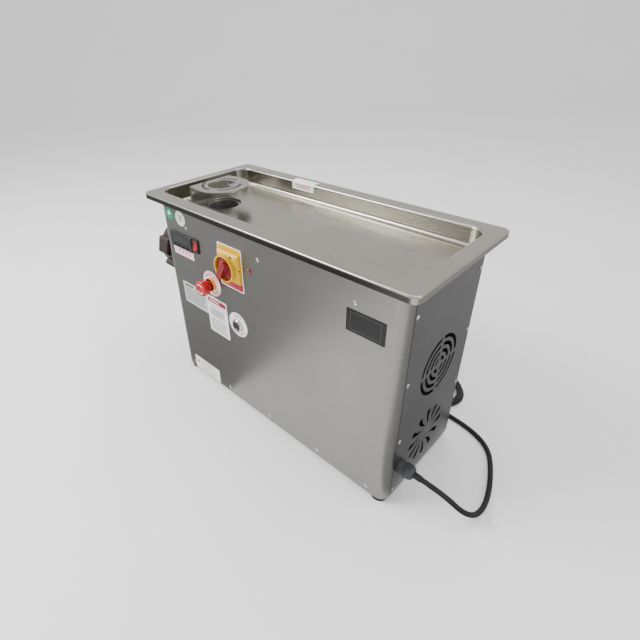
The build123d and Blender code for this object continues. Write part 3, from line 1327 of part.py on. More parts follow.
# ================================================================ labels
LABEL = 0.4
RIM_STICKER = (-149, -85)
STICKER_FLAT = 14
FRONT_LABELS = (
    # centre, size, corner
    ((-239, 238), (91, 56), 1.5),
    ((-93, 364), (73, 95), 3),
    ((-259, 346.2), (74, 20), 1),
    ((-238, 22), (102, 40), 2),
)
with BuildPart() as labels:
    for centre, size, corner in FRONT_LABELS:
        bar(FRONT, *size, LABEL, at=centre, corner=corner)
    bar(FRONT.offset(LABEL + 0.05), 71, 98, LABEL, at=(-158, 217), corner=4)
    for centre, radius in ((STOP_AT, 30), (START_AT, 29.5), ((-253, 427), 17)):
        with BuildSketch(FRONT) as round_section:
            with Locations(centre):
                Circle(radius)
        extrude(round_section.sketch, amount=LABEL)
    holes(FRONT.offset(2), [STOP_AT, START_AT, SWITCH_AT], STOP_HOLE + 0.2, 4)
    # a sticker folded over the back rim and down into the bowl
    roll_y = BODY_Y + FLAT_WIDTH / 2
    roll_z = RIM_TOP - RIM_ROLL
    flat_end = roll_y + STICKER_FLAT
    wall_low = roll_z - STICKER_FLAT
    with BuildSketch(across(CONTROLS_X + RIM_STICKER[0], 0, 0)) as folded:
        with BuildLine():
            Polyline(
                (roll_y, RIM_TOP), (flat_end, RIM_TOP), (flat_end, RIM_TOP + LABEL), (roll_y, RIM_TOP + LABEL)
            )
            CenterArc((roll_y, roll_z), RIM_ROLL + LABEL, 90, 90)
            Polyline(
                (roll_y - RIM_ROLL - LABEL, roll_z),
                (roll_y - RIM_ROLL - LABEL, wall_low),
                (roll_y - RIM_ROLL, wall_low),
                (roll_y - RIM_ROLL, roll_z),
            )
            CenterArc((roll_y, roll_z), RIM_ROLL, 90, 90)
        make_face()
    extrude(folded.sketch, amount=RIM_STICKER[1] - RIM_STICKER[0])
save(labels, "labels")

BRAND_AT = (234, 374)
with BuildPart() as name_plate:
    bar(FRONT, 74, 42, 0.8, at=BRAND_AT, corner=1)
save(name_plate, "name_plate")

# ================================================================ cable gland and cord
GLAND_Y = FRONT_Y + GLAND_AT[0]
GLAND_Z = FOOT_HEIGHT + GLAND_AT[1]
CORD_RADIUS = 5

with BuildPart() as cable_gland:
    with BuildSketch(across(RIGHT_X, GLAND_Y, GLAND_Z)):
        RegularPolygon(15.6, 6)
    extrude(amount=7)
    rod(across(RIGHT_X + 7, GLAND_Y, GLAND_Z), 13.4, 5)
    with BuildSketch(across(RIGHT_X + 12, GLAND_Y, GLAND_Z)):
        RegularPolygon(14.6, 8)
    extrude(amount=13)
    with BuildSketch(across(RIGHT_X + 25, GLAND_Y, GLAND_Z)) as dome_low:
        Circle(13.2)
    with BuildSketch(across(RIGHT_X + 31, GLAND_Y, GLAND_Z)) as dome_high:
        Circle(7.6)
    loft([dome_low.sketch, dome_high.sketch])
    with BuildSketch(across(RIGHT_X + 31, GLAND_Y, GLAND_Z)) as sleeve_low:
        Circle(6.6)
    with BuildSketch(across(RIGHT_X + GLAND_REACH, GLAND_Y, GLAND_Z)) as sleeve_high:
        Circle(5.9)
    loft([sleeve_low.sketch, sleeve_high.sketch])
    rod(across(RIGHT_X, GLAND_Y, GLAND_Z), 10, -14)
    ring(across(RIGHT_X - SHEET - 6, GLAND_Y, GLAND_Z), GLAND_NUT, 9, 6)
    rod(across(RIGHT_X - 15, GLAND_Y, GLAND_Z), CORD_RADIUS + 0.3, GLAND_REACH + 20, Mode.SUBTRACT)
save(cable_gland, "cable_gland")

# The cord leaves the gland, drops to the floor, runs back past the right end and meets a coil
# that lies behind the cabinet. A short tail leads from the coil to the plug.
COIL_CENTRE = (RIGHT_X - 82, REAR_Y + 110)
COIL_OUTER_TURN = 60
COIL_MIDDLE = 55
CORD_START = RIGHT_X + GLAND_REACH - 12
CORD_ROUTE = [
    (CORD_START, GLAND_Y, GLAND_Z),
    (CORD_START + 54, GLAND_Y, GLAND_Z),
    (CORD_START + 92, GLAND_Y + 12, GLAND_Z - 32),
    (CORD_START + 107, GLAND_Y + 50, GLAND_Z - 64),
    (CORD_START + 104, GLAND_Y + 104, CORD_RADIUS),
    (CORD_START + 84, GLAND_Y + 165, CORD_RADIUS),
    (CORD_START + 56, GLAND_Y + 219, CORD_RADIUS),
    (CORD_START + 8, COIL_CENTRE[1] - COIL_OUTER_TURN - 6, CORD_RADIUS),
    (COIL_CENTRE[0] + 60, COIL_CENTRE[1] - COIL_OUTER_TURN + 2, CORD_RADIUS),
    (COIL_CENTRE[0], COIL_CENTRE[1] - COIL_OUTER_TURN, CORD_RADIUS),
]
PLUG_HEIGHT = 19
TAIL_ROUTE = [
    (COIL_CENTRE[0], COIL_CENTRE[1] - COIL_MIDDLE, 14),
    (COIL_CENTRE[0] - 52, COIL_CENTRE[1] - COIL_MIDDLE + 1, 12),
    (COIL_CENTRE[0] - 106, COIL_CENTRE[1] - COIL_MIDDLE - 6, PLUG_HEIGHT),
    (COIL_CENTRE[0] - 158, COIL_CENTRE[1] - COIL_MIDDLE + 4, PLUG_HEIGHT),
]
BEND_SHARE = 0.45


def cord_radii(points):
    """Arc radius for every corner: 0.45 of the shorter run over the tangent of half the turn."""
    spots = [Vector(*point) for point in points]
    radii = []
    for before, corner, after in zip(spots, spots[1:], spots[2:]):
        turn = (corner - before).get_angle(after - corner)
        shorter = min((corner - before).length, (after - corner).length)
        radii.append(BEND_SHARE * shorter / tan(radians(turn / 2)))
    return radii


def cord_length(points):
    """Length along the middle of a cord, its corners rounded."""
    with BuildLine() as path:
        FilletPolyline(*points, radius=cord_radii(points))
    return path.wire().length


with BuildPart() as power_cord:
    tube(CORD_ROUTE, cord_radii(CORD_ROUTE), CORD_RADIUS)
    tube(TAIL_ROUTE, cord_radii(TAIL_ROUTE), CORD_RADIUS)
save(power_cord, "power_cord")

COIL_HEIGHT = 19
with BuildPart() as cord_coil:
    coil_plane = Plane(origin=(*COIL_CENTRE, 0))
    ring(coil_plane, COIL_OUTER_TURN + CORD_RADIUS, COIL_OUTER_TURN - 15, COIL_HEIGHT)
save(cord_coil, "cord_coil")

tail_end = Vector(*TAIL_ROUTE[-1])
plug_direction = (tail_end - Vector(*TAIL_ROUTE[-2])).normalized()
PLUG_LENGTH = 74
PLUG_PROFILE = [(0, 0), (6.5, 0), (8.5, 30), (14, 36), (19, 46), (19, 60), (17.5, 62)]
PLUG_PROFILE += [(17.5, PLUG_LENGTH), (0, PLUG_LENGTH)]
PIN_RADIUS = 2.4
PIN_SPREAD = 9.5
PIN_LENGTH = 19
plug_side = Vector(0, 0, 1).cross(plug_direction)
with BuildPart() as plug:
    with BuildSketch(Plane(origin=tail_end, x_dir=(0, 0, 1), z_dir=plug_side)) as half:
        with BuildLine():
            Polyline(*[(radius, height) for radius, height in PLUG_PROFILE], close=True)
        make_face()
    revolve(half.sketch, axis=Axis(tail_end, plug_direction))
    pin_root = tail_end + plug_direction * PLUG_LENGTH
    pin_plane = Plane(origin=pin_root, x_dir=plug_side * -1, z_dir=plug_direction)
    for offset_x in (-PIN_SPREAD, PIN_SPREAD):
        with BuildSketch(pin_plane) as pin_section:
            with Locations((offset_x, 0)):
                Circle(PIN_RADIUS)
        extrude(pin_section.sketch, amount=PIN_LENGTH)
save(plug, "plug")

coil_turns = 3
whole = cord_length(CORD_ROUTE) + cord_length(TAIL_ROUTE) + coil_turns * 2 * pi * COIL_MIDDLE
print("cord radii", [round(radius) for radius in cord_radii(CORD_ROUTE) + cord_radii(TAIL_ROUTE)])
print("cord length", round(whole))
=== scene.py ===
"""Looks for a refrigerated meat mincer: materials, printed labels, controls, cord and studio."""
import math

import bmesh
import bpy
from mathutils import Euler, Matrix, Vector


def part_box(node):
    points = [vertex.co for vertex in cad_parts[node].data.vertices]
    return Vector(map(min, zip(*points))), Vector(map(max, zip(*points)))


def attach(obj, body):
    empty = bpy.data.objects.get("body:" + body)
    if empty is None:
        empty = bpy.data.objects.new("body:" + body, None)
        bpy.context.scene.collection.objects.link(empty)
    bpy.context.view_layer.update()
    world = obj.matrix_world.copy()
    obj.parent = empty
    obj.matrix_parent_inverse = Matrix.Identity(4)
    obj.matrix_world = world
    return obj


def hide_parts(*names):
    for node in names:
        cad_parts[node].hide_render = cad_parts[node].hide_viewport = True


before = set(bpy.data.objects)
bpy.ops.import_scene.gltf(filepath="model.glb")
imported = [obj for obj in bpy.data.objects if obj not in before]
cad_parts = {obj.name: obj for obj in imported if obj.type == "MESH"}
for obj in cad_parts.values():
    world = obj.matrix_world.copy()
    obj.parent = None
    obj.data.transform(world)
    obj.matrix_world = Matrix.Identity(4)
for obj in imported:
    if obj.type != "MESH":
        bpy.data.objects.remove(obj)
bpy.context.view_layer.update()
MM = 0.001

# ---------------------------------------------------------------- places read from the frame
TRAY_LOW, TRAY_HIGH = (Vector(corner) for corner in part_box("tray"))
FRONT_LOW, FRONT_HIGH = (Vector(corner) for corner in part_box("front_panel"))
FRONT_Y = FRONT_LOW.y
PANEL_Z = FRONT_LOW.z
LEFT_X = FRONT_LOW.x
RIGHT_X = FRONT_HIGH.x
CONTROLS_X = RIGHT_X - 0.303     # zero of the front panel's measures
RIM_TOP = TRAY_HIGH.z
REAR_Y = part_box("rear_panel")[1][1]


def middle(node):
    """Centre of a CAD node's box."""
    low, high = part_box(node)
    return (Vector(low) + Vector(high)) / 2


# ---------------------------------------------------------------- camera
camera_data = bpy.data.cameras.new("camera")
camera_data.lens = 24.962
camera_data.sensor_width = 36
camera_data.shift_x = 0.0444
camera_data.shift_y = -0.0291
camera_data.clip_start = 0.01
camera = bpy.data.objects.new("camera", camera_data)
camera.location = (0.5897, -0.5930, 0.7812)
camera.rotation_euler = Euler([math.radians(turn) for turn in (58.210, 1.476, 44.027)], "XYZ")
bpy.context.collection.objects.link(camera)
bpy.context.scene.camera = camera


# ---------------------------------------------------------------- materials
class Shader:
    """A Principled material with short ways to add and join nodes."""

    def __init__(self, name, **sockets):
        self.material = bpy.data.materials.new(name)
        self.material.use_nodes = True
        self.tree = self.material.node_tree
        self.surface = self.tree.nodes["Principled BSDF"]
        for socket, value in sockets.items():
            self.surface.inputs[socket.replace("_", " ")].default_value = value
        self.place = self.add("ShaderNodeTexCoord").outputs["Object"]

    def add(self, kind, **values):
        node = self.tree.nodes.new(kind)
        for key, value in values.items():
            if key in node.inputs:
                node.inputs[key].default_value = value
            else:
                setattr(node, key, value)
        return node

    def join(self, start, end):
        self.tree.links.new(start, end)

    def noise(self, scale, stretch=(1, 1, 1), detail=4.0, roughness=0.55):
        """Noise in the object's own metres, stretched along its axes."""
        mapping = self.add("ShaderNodeMapping", Scale=stretch)
        self.join(self.place, mapping.inputs["Vector"])
        noise = self.add("ShaderNodeTexNoise", Scale=scale, Detail=detail, Roughness=roughness)
        self.join(mapping.outputs["Vector"], noise.inputs["Vector"])
        return noise.outputs["Fac"]

    def spread(self, value, low, high, start=0.3, end=0.7):
        """A number between low and high that follows a noise."""
        node = self.add("ShaderNodeMapRange")
        for socket, number in (("From Min", start), ("From Max", end), ("To Min", low), ("To Max", high)):
            node.inputs[socket].default_value = number
        self.join(value, node.inputs["Value"])
        return node.outputs["Result"]

    def tones(self, value, dark, light, start=0.3, end=0.7):
        """A colour between two tones that follows a noise."""
        ramp = self.add("ShaderNodeValToRGB")
        ramp.color_ramp.elements[0].position = start
        ramp.color_ramp.elements[0].color = (*dark, 1)
        ramp.color_ramp.elements[1].position = end
        ramp.color_ramp.elements[1].color = (*light, 1)
        self.join(value, ramp.inputs["Fac"])
        return ramp.outputs["Color"]

    def bump(self, value, distance, strength=1.0, below=None):
        node = self.add("ShaderNodeBump", Strength=strength, Distance=distance)
        self.join(value, node.inputs["Height"])
        if below is not None:
            self.join(below, node.inputs["Normal"])
        self.join(node.outputs["Normal"], self.surface.inputs["Normal"])
        return node.outputs["Normal"]

    def drive(self, socket, value):
        self.join(value, self.surface.inputs[socket])


def scaled(colour, factor):
    return tuple(min(1.0, channel * factor) for channel in colour)


def brushed(name, colour, grain, roughness=0.32, contrast=0.07, cloud=0.08, depth=0.012):
    """Sheet metal brushed one way: fine lines, faint wider bands and soft handling marks."""
    shader = Shader(name, Metallic=1.0)
    lines = shader.noise(1.0, grain, detail=5, roughness=0.7)
    clouds = shader.noise(7.0, detail=3)
    mix = shader.add("ShaderNodeMix", data_type="RGBA", blend_type="MULTIPLY")
    mix.inputs["Factor"].default_value = 1.0
    fine = shader.tones(lines, scaled(colour, 1 - contrast), scaled(colour, 1 + contrast))
    wide = shader.tones(clouds, (1 - cloud,) * 3, (1.0, 1.0, 1.0))
    shader.join(fine, mix.inputs[6])
    shader.join(wide, mix.inputs[7])
    shader.join(mix.outputs[2], shader.surface.inputs["Base Color"])
    both = shader.add("ShaderNodeMath", operation="ADD")
    shader.join(shader.spread(lines, roughness - 0.05, roughness + 0.05), both.inputs[0])
    shader.join(shader.spread(clouds, 0.05, -0.02), both.inputs[1])
    shader.drive("Roughness", both.outputs[0])
    shader.bump(lines, depth * MM)
    return shader.material


def cast(name, colour, roughness=0.5, metallic=1.0, grit=0.25, scale=420.0):
    """Cast or machined metal with a pitted skin and darker hollows."""
    shader = Shader(name, Metallic=metallic)
    grains = shader.noise(scale, detail=6)
    stains = shader.noise(38.0, detail=4)
    shader.drive("Base Color", shader.tones(stains, scaled(colour, 0.72), scaled(colour, 1.2)))
    shader.drive("Roughness", shader.spread(grains, roughness - 0.1, roughness + 0.12))
    shader.bump(grains, grit * MM, 0.5)
    return shader.material


def moulded(name, colour, roughness=0.3, variation=0.10, texture=0.02, coat=0.0, scale=900.0):
    """Moulded plastic or rubber: a fine skin, a slow tone change and faint rub marks."""
    shader = Shader(name, Coat_Weight=coat, Coat_Roughness=0.12)
    skin = shader.noise(scale, detail=3)
    rubs = shader.noise(55.0, (1, 1, 2.4), detail=5, roughness=0.65)
    shader.drive("Base Color", shader.tones(rubs, scaled(colour, 1 - variation), scaled(colour, 1 + variation)))
    shader.drive("Roughness", shader.spread(rubs, roughness - 0.05, roughness + 0.08))
    shader.bump(skin, texture * MM, 0.6)
    return shader.material


def enamel(name, colour, roughness=0.3):
    """Sprayed paint with orange peel and dust in it."""
    shader = Shader(name, Coat_Weight=0.3, Coat_Roughness=0.15)
    peel = shader.noise(260.0, detail=2)
    dust = shader.noise(60.0, detail=5, roughness=0.7)
    shader.drive("Base Color", shader.tones(dust, scaled(colour, 0.85), scaled(colour, 1.25)))
    shader.drive("Roughness", shader.spread(dust, roughness - 0.05, roughness + 0.15))
    shader.bump(peel, 0.04 * MM, 0.5)
    return shader.material


def film(name, colour, roughness=0.38):
    """Printed film: slightly mottled ink with faint creases."""
    shader = Shader(name)
    ink = shader.noise(650.0, detail=3)
    wear = shader.noise(40.0, detail=5, roughness=0.7)
    shader.drive("Base Color", shader.tones(wear, scaled(colour, 0.93), scaled(colour, 1.03)))
    shader.drive("Roughness", shader.spread(ink, roughness - 0.06, roughness + 0.08))
    shader.bump(wear, 0.06 * MM, 0.4)
    return shader.material


def paint_lip_shade(material):
    """Painted shade on the tray's front lip below its bright rolled edge: the base colour turns near-black by
    position, standing in for a dark reflection.
    """
    tree = material.node_tree
    surface = tree.nodes["Principled BSDF"]
    colour = surface.inputs["Base Color"].links[0].from_socket
    place = tree.nodes.new("ShaderNodeSeparateXYZ")
    tree.links.new(tree.nodes["Texture Coordinate"].outputs["Object"], place.inputs[0])
    front = tree.nodes.new("ShaderNodeMapRange")
    front.inputs["From Min"].default_value = TRAY_LOW.y + 0.0012
    front.inputs["From Max"].default_value = TRAY_LOW.y
    tree.links.new(place.outputs["Y"], front.inputs["Value"])
    under = tree.nodes.new("ShaderNodeMapRange")
    under.inputs["From Min"].default_value = RIM_TOP - 0.0018
    under.inputs["From Max"].default_value = RIM_TOP - 0.0040
    tree.links.new(place.outputs["Z"], under.inputs["Value"])
    both = tree.nodes.new("ShaderNodeMath")
    both.operation = "MULTIPLY"
    tree.links.new(front.outputs["Result"], both.inputs[0])
    tree.links.new(under.outputs["Result"], both.inputs[1])
    mix = tree.nodes.new("ShaderNodeMix")
    mix.data_type = "RGBA"
    tree.links.new(both.outputs[0], mix.inputs["Factor"])
    tree.links.new(colour, mix.inputs[6])
    # near-black colour of the painted shade on the lip
    mix.inputs[7].default_value = (0.05, 0.049, 0.045, 1)
    tree.links.new(mix.outputs[2], surface.inputs["Base Color"])


ROUND_BODY = (6, 6, 1500)       # horizontal lines all round the cabinet
TRAY_GRAIN = (6, 900, 600)      # lines along the tray
MATERIALS = {
    "panel": brushed("panel_steel", (0.27, 0.267, 0.255), ROUND_BODY, roughness=0.36),
    "tray": brushed("tray_steel", (0.385, 0.37, 0.325), TRAY_GRAIN, roughness=0.22, cloud=0.12),
    "guard": brushed("guard_steel", (0.37, 0.355, 0.315), (60, 60, 300), roughness=0.33, cloud=0.12),
    "frame": brushed("frame_steel", (0.40, 0.40, 0.40), (200, 200, 900), roughness=0.42),
    # near-black steel for the painted shade in the guard's grooves
    "groove": brushed("groove_shade_steel", (0.045, 0.042, 0.035), (60, 60, 300), roughness=0.45),
    # a darker copy of the panel steel: painted shade on the end panels
    "end_panel": brushed("end_panel_steel_shaded", (0.20, 0.20, 0.20), (6, 6, 1500), roughness=0.40),
    "bright": brushed("bright_steel", (0.62, 0.62, 0.62), (300, 300, 300), roughness=0.16),
    "rubber": moulded("foot_rubber", (0.022, 0.022, 0.023), 0.62, 0.2, 0.05),
    "casting": cast("head_casting", (0.45, 0.45, 0.46), 0.36, grit=0.08),
    "nut": cast("nut_casting", (0.055, 0.040, 0.040), 0.42, metallic=0.5, grit=0.15),
    "tool": brushed("tool_steel", (0.55, 0.55, 0.56), (500, 500, 500), roughness=0.22),
    "black": moulded("black_plastic", (0.022, 0.022, 0.022), 0.45, 0.2, 0.04),
    "aluminium": cast("aluminium_casting", (0.60, 0.60, 0.62), 0.45, grit=0.2),
    "copper": cast("copper_tube", (0.68, 0.36, 0.22), 0.28, grit=0.03),
    "fins": brushed("fin_aluminium", (0.62, 0.62, 0.63), (400, 60, 400), roughness=0.35),
    "foam": moulded("foam_rubber", (0.03, 0.03, 0.032), 0.85, 0.3, 0.4, scale=300),
    "gear": cast("gear_steel", (0.42, 0.42, 0.43), 0.3, grit=0.03),
    "motor": enamel("motor_enamel", (0.12, 0.14, 0.17)),
    "windings": cast("varnished_copper", (0.32, 0.13, 0.06), 0.35, metallic=0.6, grit=0.3),
    "compressor": enamel("compressor_enamel", (0.012, 0.012, 0.013), 0.22),
    "grey_plastic": moulded("grey_plastic", (0.26, 0.27, 0.27), 0.5, 0.08, 0.04),
    "gland": moulded("gland_nylon", (0.050, 0.058, 0.058), 0.42, 0.15, 0.04),
    "rocker": moulded("rocker_red", (0.30, 0.001, 0.003), 0.3, 0.12, 0.012, coat=0.2),
    "black_gloss": moulded("black_gloss", (0.012, 0.013, 0.014), 0.16, 0.15, 0.01, coat=0.5),
    "glass": moulded("display_window", (0.006, 0.007, 0.008), 0.06, 0.05, 0.004, coat=1.0),
    "red": moulded("red_plastic", (0.42, 0.001, 0.004), 0.22, 0.12, 0.012, coat=0.4),
    "deep_red": moulded("deep_red_plastic", (0.22, 0.001, 0.004), 0.26, 0.14, 0.012, coat=0.3),
    "lamp": moulded("lamp_lens", (0.16, 0.008, 0.014), 0.12, 0.2, 0.01, coat=0.8),
    "yellow": moulded("yellow_plastic", (0.74, 0.44, 0.0), 0.48, 0.07, 0.012, coat=0.05),
    "orange": moulded("orange_plastic", (0.85, 0.27, 0.03), 0.28, 0.08, 0.012, coat=0.3),
    "cord": moulded("cord_sheath", (0.014, 0.014, 0.015), 0.5, 0.25, 0.03),
    "film_white": film("film_white", (0.84, 0.84, 0.83)),
    "film_pink": film("film_pink", (0.84, 0.68, 0.69)),
    "film_silver": film("film_silver", (0.50, 0.53, 0.52), 0.3),
    "film_grey": film("film_grey", (0.045, 0.048, 0.048)),
    "film_pale": film("film_pale", (0.42, 0.44, 0.43)),
    "film_dark": film("film_dark", (0.03, 0.03, 0.032)),
    "film_red": film("film_red", (0.36, 0.006, 0.018)),
    "film_rose": film("film_rose", (0.58, 0.08, 0.14)),
    "film_yellow": film("film_yellow", (0.72, 0.42, 0.0), 0.5),
    "film_green": film("film_green", (0.018, 0.24, 0.13)),
    # near-black film for the painted shade over the panel joints
    "seam": film("seam_shade_black", (0.006, 0.006, 0.006), 0.8),
    "plate_black": film("plate_black", (0.012, 0.013, 0.012), 0.34),
}

paint_lip_shade(MATERIALS["tray"])

for look in ("black_gloss", "glass", "plate_black", "cord", "gland", "black", "rubber", "seam", "film_dark", "nut", "film_yellow"):
    MATERIALS[look].node_tree.nodes["Principled BSDF"].inputs["Specular IOR Level"].default_value = 0.2

CAD_LOOKS = {
    "panel": ("front_panel", "rear_panel"),
    "end_panel": ("right_end_panel", "left_end_panel"),
    "tray": ("tray",),
    "guard": ("feed_guard",),
    "frame": ("base_plate", "top_frame", "corner_posts", "machine_stands"),
    "bright": ("panel_screws", "hex_bolts", "bearings", "output_shaft", "start_button_base"),
    "rubber": ("rubber_feet", "compressor_mounts", "shaft_seal"),
    "casting": ("mincer_barrel", "feed_screw"),
    "nut": ("ring_nut",),
    "tool": ("mincing_plate", "knife"),
    "black": ("head_lock_knob", "fan_frame", "fan_rotor", "motor_fan", "rocker_housing", "plug"),
    "aluminium": ("cooling_saddle", "gearbox_housing", "gearbox_cover"),
    "copper": ("evaporator_coil", "refrigerant_lines", "filter_drier"),
    "fins": ("condenser",),
    "foam": ("insulation",),
    "gear": ("output_gear", "layshaft", "layshaft_gear", "motor_rotor"),
    "motor": ("motor_housing", "motor_end_cover"),
    "windings": ("motor_stator",),
    "compressor": ("compressor",),
    "grey_plastic": ("electrical_box", "contactor"),
    "gland": ("cable_gland",),
    "black_gloss": ("thermostat", "start_button"),
    "rocker": ("rocker",),
    "red": ("emergency_stop_button",),
    "deep_red": ("switch_handle",),
    "lamp": ("indicator_lamp",),
    "yellow": ("switch_escutcheon",),
    "orange": ("emergency_stop_base",),
    "film_white": ("labels",),
    "plate_black": ("name_plate",),
    "cord": ("power_cord", "cord_coil"),
}
for look, node_names in CAD_LOOKS.items():
    for node_name in node_names:
        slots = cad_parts[node_name].material_slots
        for slot in slots:
            slot.material = MATERIALS[look]


# ---------------------------------------------------------------- mesh helpers
class Piece:
    """A mesh made of prisms and turned shapes, each with its own material."""

    def __init__(self, name):
        self.name = name
        self.mesh = bmesh.new()
        self.looks = []

    def look(self, name):
        if name not in self.looks:
            self.looks.append(name)
        return self.looks.index(name)

    def prism(self, outline, place, low, high, look):
        """A flat outline, closed, between two heights; place turns (x, y, height) into a point."""
        index = self.look(look)
        bottom = [self.mesh.verts.new(place(x, y, low)) for x, y in outline]
        top = [self.mesh.verts.new(place(x, y, high)) for x, y in outline]
        faces = [self.mesh.faces.new(top), self.mesh.faces.new(bottom[::-1])]
        for i in range(len(outline)):
            j = (i + 1) % len(outline)
            faces.append(self.mesh.faces.new((bottom[i], bottom[j], top[j], top[i])))
        for face in faces:
            face.material_index = index

    def band(self, centre, inner, outer, place, low, high, look, start=0, turn=360, steps=48):
        """A flat ring or an arc of one."""
        index = self.look(look)
        whole = abs(turn) >= 360
        count = steps if whole else steps + 1
        rows = []
        for i in range(count):
            angle = math.radians(start + turn * i / steps)
            spots = [
                (centre[0] + radius * math.cos(angle), centre[1] + radius * math.sin(angle), height)
                for radius, height in ((inner, low), (outer, low), (outer, high), (inner, high))
            ]
            rows.append([self.mesh.verts.new(place(*spot)) for spot in spots])
        pairs = zip(rows, rows[1:] + rows[:1]) if whole else zip(rows, rows[1:])
        for one, other in pairs:
            for i in range(4):
                j = (i + 1) % 4
                self.mesh.faces.new((one[i], one[j], other[j], other[i])).material_index = index
        if not whole:
            self.mesh.faces.new(rows[0]).material_index = index
            self.mesh.faces.new(rows[-1][::-1]).material_index = index

    def lathe(self, profile, place, look, steps=72, centre=(0, 0)):
        """A turned shape from (radius, height) points; the first and last are on the axis."""
        index = self.look(look)
        first = self.mesh.verts.new(place(*centre, profile[0][1]))
        last = self.mesh.verts.new(place(*centre, profile[-1][1]))
        rows = []
        for radius, height in profile[1:-1]:
            row = []
            for i in range(steps):
                angle = 2 * math.pi * i / steps
                x = centre[0] + radius * math.cos(angle)
                y = centre[1] + radius * math.sin(angle)
                row.append(self.mesh.verts.new(place(x, y, height)))
            rows.append(row)
        for i in range(steps):
            j = (i + 1) % steps
            faces = [self.mesh.faces.new((first, rows[0][j], rows[0][i]))]
            faces.append(self.mesh.faces.new((last, rows[-1][i], rows[-1][j])))
            for one, other in zip(rows, rows[1:]):
                faces.append(self.mesh.faces.new((one[i], one[j], other[j], other[i])))
            for face in faces:
                face.material_index = index

    def finish(self, body="root", smooth=None, replaces=()):
        """The object, riding on its body."""
        bmesh.ops.recalc_face_normals(self.mesh, faces=self.mesh.faces)
        data = bpy.data.meshes.new(self.name)
        self.mesh.to_mesh(data)
        self.mesh.free()
        for look in self.looks:
            data.materials.append(MATERIALS[look])
        if smooth is not None:
            data.shade_smooth()
            data.set_sharp_from_angle(angle=math.radians(smooth))
        piece = bpy.data.objects.new(self.name, data)
        bpy.context.collection.objects.link(piece)
        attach(piece, body)
        if replaces:
            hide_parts(*replaces)
        return piece


def on_front(x, y, height):
    """Point over the front panel: x from its zero, y above the panel's edge, mm."""
    return Vector((CONTROLS_X + x * MM, FRONT_Y - height * MM, PANEL_Z + y * MM))


def rectangle(x, y, width, height, corner=0.0, steps=6):
    """Outline of a rectangle about its centre, with round corners."""
    if corner <= 0:
        a, b = width / 2, height / 2
        return [(x - a, y - b), (x + a, y - b), (x + a, y + b), (x - a, y + b)]
    points = []
    for quarter, (sx, sy) in enumerate(((1, 1), (-1, 1), (-1, -1), (1, -1))):
        cx = x + sx * (width / 2 - corner)
        cy = y + sy * (height / 2 - corner)
        for i in range(steps + 1):
            angle = math.radians(90 * quarter + 90 * i / steps)
            points.append((cx + corner * math.cos(angle), cy + corner * math.sin(angle)))
    return points


def text_rows(piece, place, left, top, width, rows, pitch, thick, level, look, gaps):
    """Rows of short bars that stand for printed lines, with uneven ends and word gaps."""
    for row in range(rows):
        y = top - row * pitch
        start = left
        for word in range(9):
            length = width * (0.09 + 0.05 * ((row * 7 + word * gaps) % 4))
            if start + length > left + width:
                break
            piece.prism(rectangle(start + length / 2, y, length, thick), place, level, level + 0.05, look)
            start += length + width * 0.025


LABEL = 0.4       # thickness of a printed film
PRINT = 0.05      # ink stands this much proud


# ---------------------------------------------------------------- labels on the front
def rating_plate():
    piece = Piece("rating_plate")
    x, y, width, height = -239, 238, 91, 56
    piece.prism(rectangle(x, y, width, height, 1.5), on_front, 0, LABEL, "film_silver")
    piece.prism(rectangle(x - 22, y + 21, 34, 4.6), on_front, LABEL, LABEL + PRINT, "film_grey")
    piece.prism(rectangle(x + 14, y + 21, 22, 2.2), on_front, LABEL, LABEL + PRINT, "film_grey")
    text_rows(piece, on_front, x - 40, y + 13, 80, 7, 5.4, 1.9, LABEL, "film_grey", 3)
    for row in range(4):
        line = rectangle(x, y + 10.2 - row * 10.8, 84, 0.35)
        piece.prism(line, on_front, LABEL, LABEL + PRINT, "film_grey")
    return piece.finish(replaces=["labels"])


def warning_label():
    piece = Piece("warning_label")
    x, y, width, height = -158, 217, 71, 98
    base = 0.45
    face = base + LABEL
    piece.prism(rectangle(x, y, width, height, 4), on_front, base, face, "film_white")
    piece.prism(rectangle(x, y, width - 4, height - 4, 3), on_front, face, face + 0.02, "film_pale")
    piece.prism(rectangle(x, y, width - 5, height - 5, 2.6), on_front, face + 0.01, face + 0.03, "film_white")
    piece.prism(rectangle(x, y + 38, width - 8, 11, 2.5), on_front, face, face + PRINT, "film_red")
    piece.prism(rectangle(x - 8, y + 38, 34, 2.4), on_front, face, face + 0.09, "film_white")
    text_rows(piece, on_front, x - 29, y + 28, 58, 2, 3.6, 1.3, face, "film_rose", 3)
    piece.prism(rectangle(x - 2, y + 8, 52, 24, 1), on_front, face, face + 0.04, "film_silver")
    text_rows(piece, on_front, x - 25, y + 16, 48, 5, 4.0, 1.0, face, "film_grey", 5)
    text_rows(piece, on_front, x - 29, y - 11, 58, 7, 5.2, 2.3, face, "film_grey", 3)
    return piece.finish()


def switch_label():
    piece = Piece("switch_label")
    x, y, width, height = -93, 364, 73, 95
    piece.prism(rectangle(x, y, width, height, 3), on_front, 0, LABEL, "film_white")
    split = y - height / 2 + 19
    top = y + height / 2 - 2.4
    piece.prism(rectangle(x, (split + top) / 2, width - 4.4, top - split), on_front, LABEL, LABEL + PRINT, "film_yellow")
    low = y - height / 2 + 2.4
    piece.prism(rectangle(x, (split + low) / 2, width - 4.4, split - low), on_front, LABEL, LABEL + PRINT, "film_red")
    text_rows(piece, on_front, x - 28, split - 5, 56, 3, 3.6, 1.1, LABEL + PRINT, "film_rose", 5)
    return piece.finish()


def thermostat_label():
    piece = Piece("thermostat_label")
    x, y = -259, 346.2
    piece.prism(rectangle(x, y, 74, 20, 1), on_front, 0, LABEL, "film_pink")
    for i in range(8):
        bar_x = x - 24.5 + i * 7
        for dy, tall in ((0, 10), ) if i % 2 else ((3.6, 2.6), (-3.6, 2.6)):
            piece.prism(rectangle(bar_x, y + dy, 3.6, tall), on_front, LABEL, LABEL + PRINT, "film_rose")
    return piece.finish()


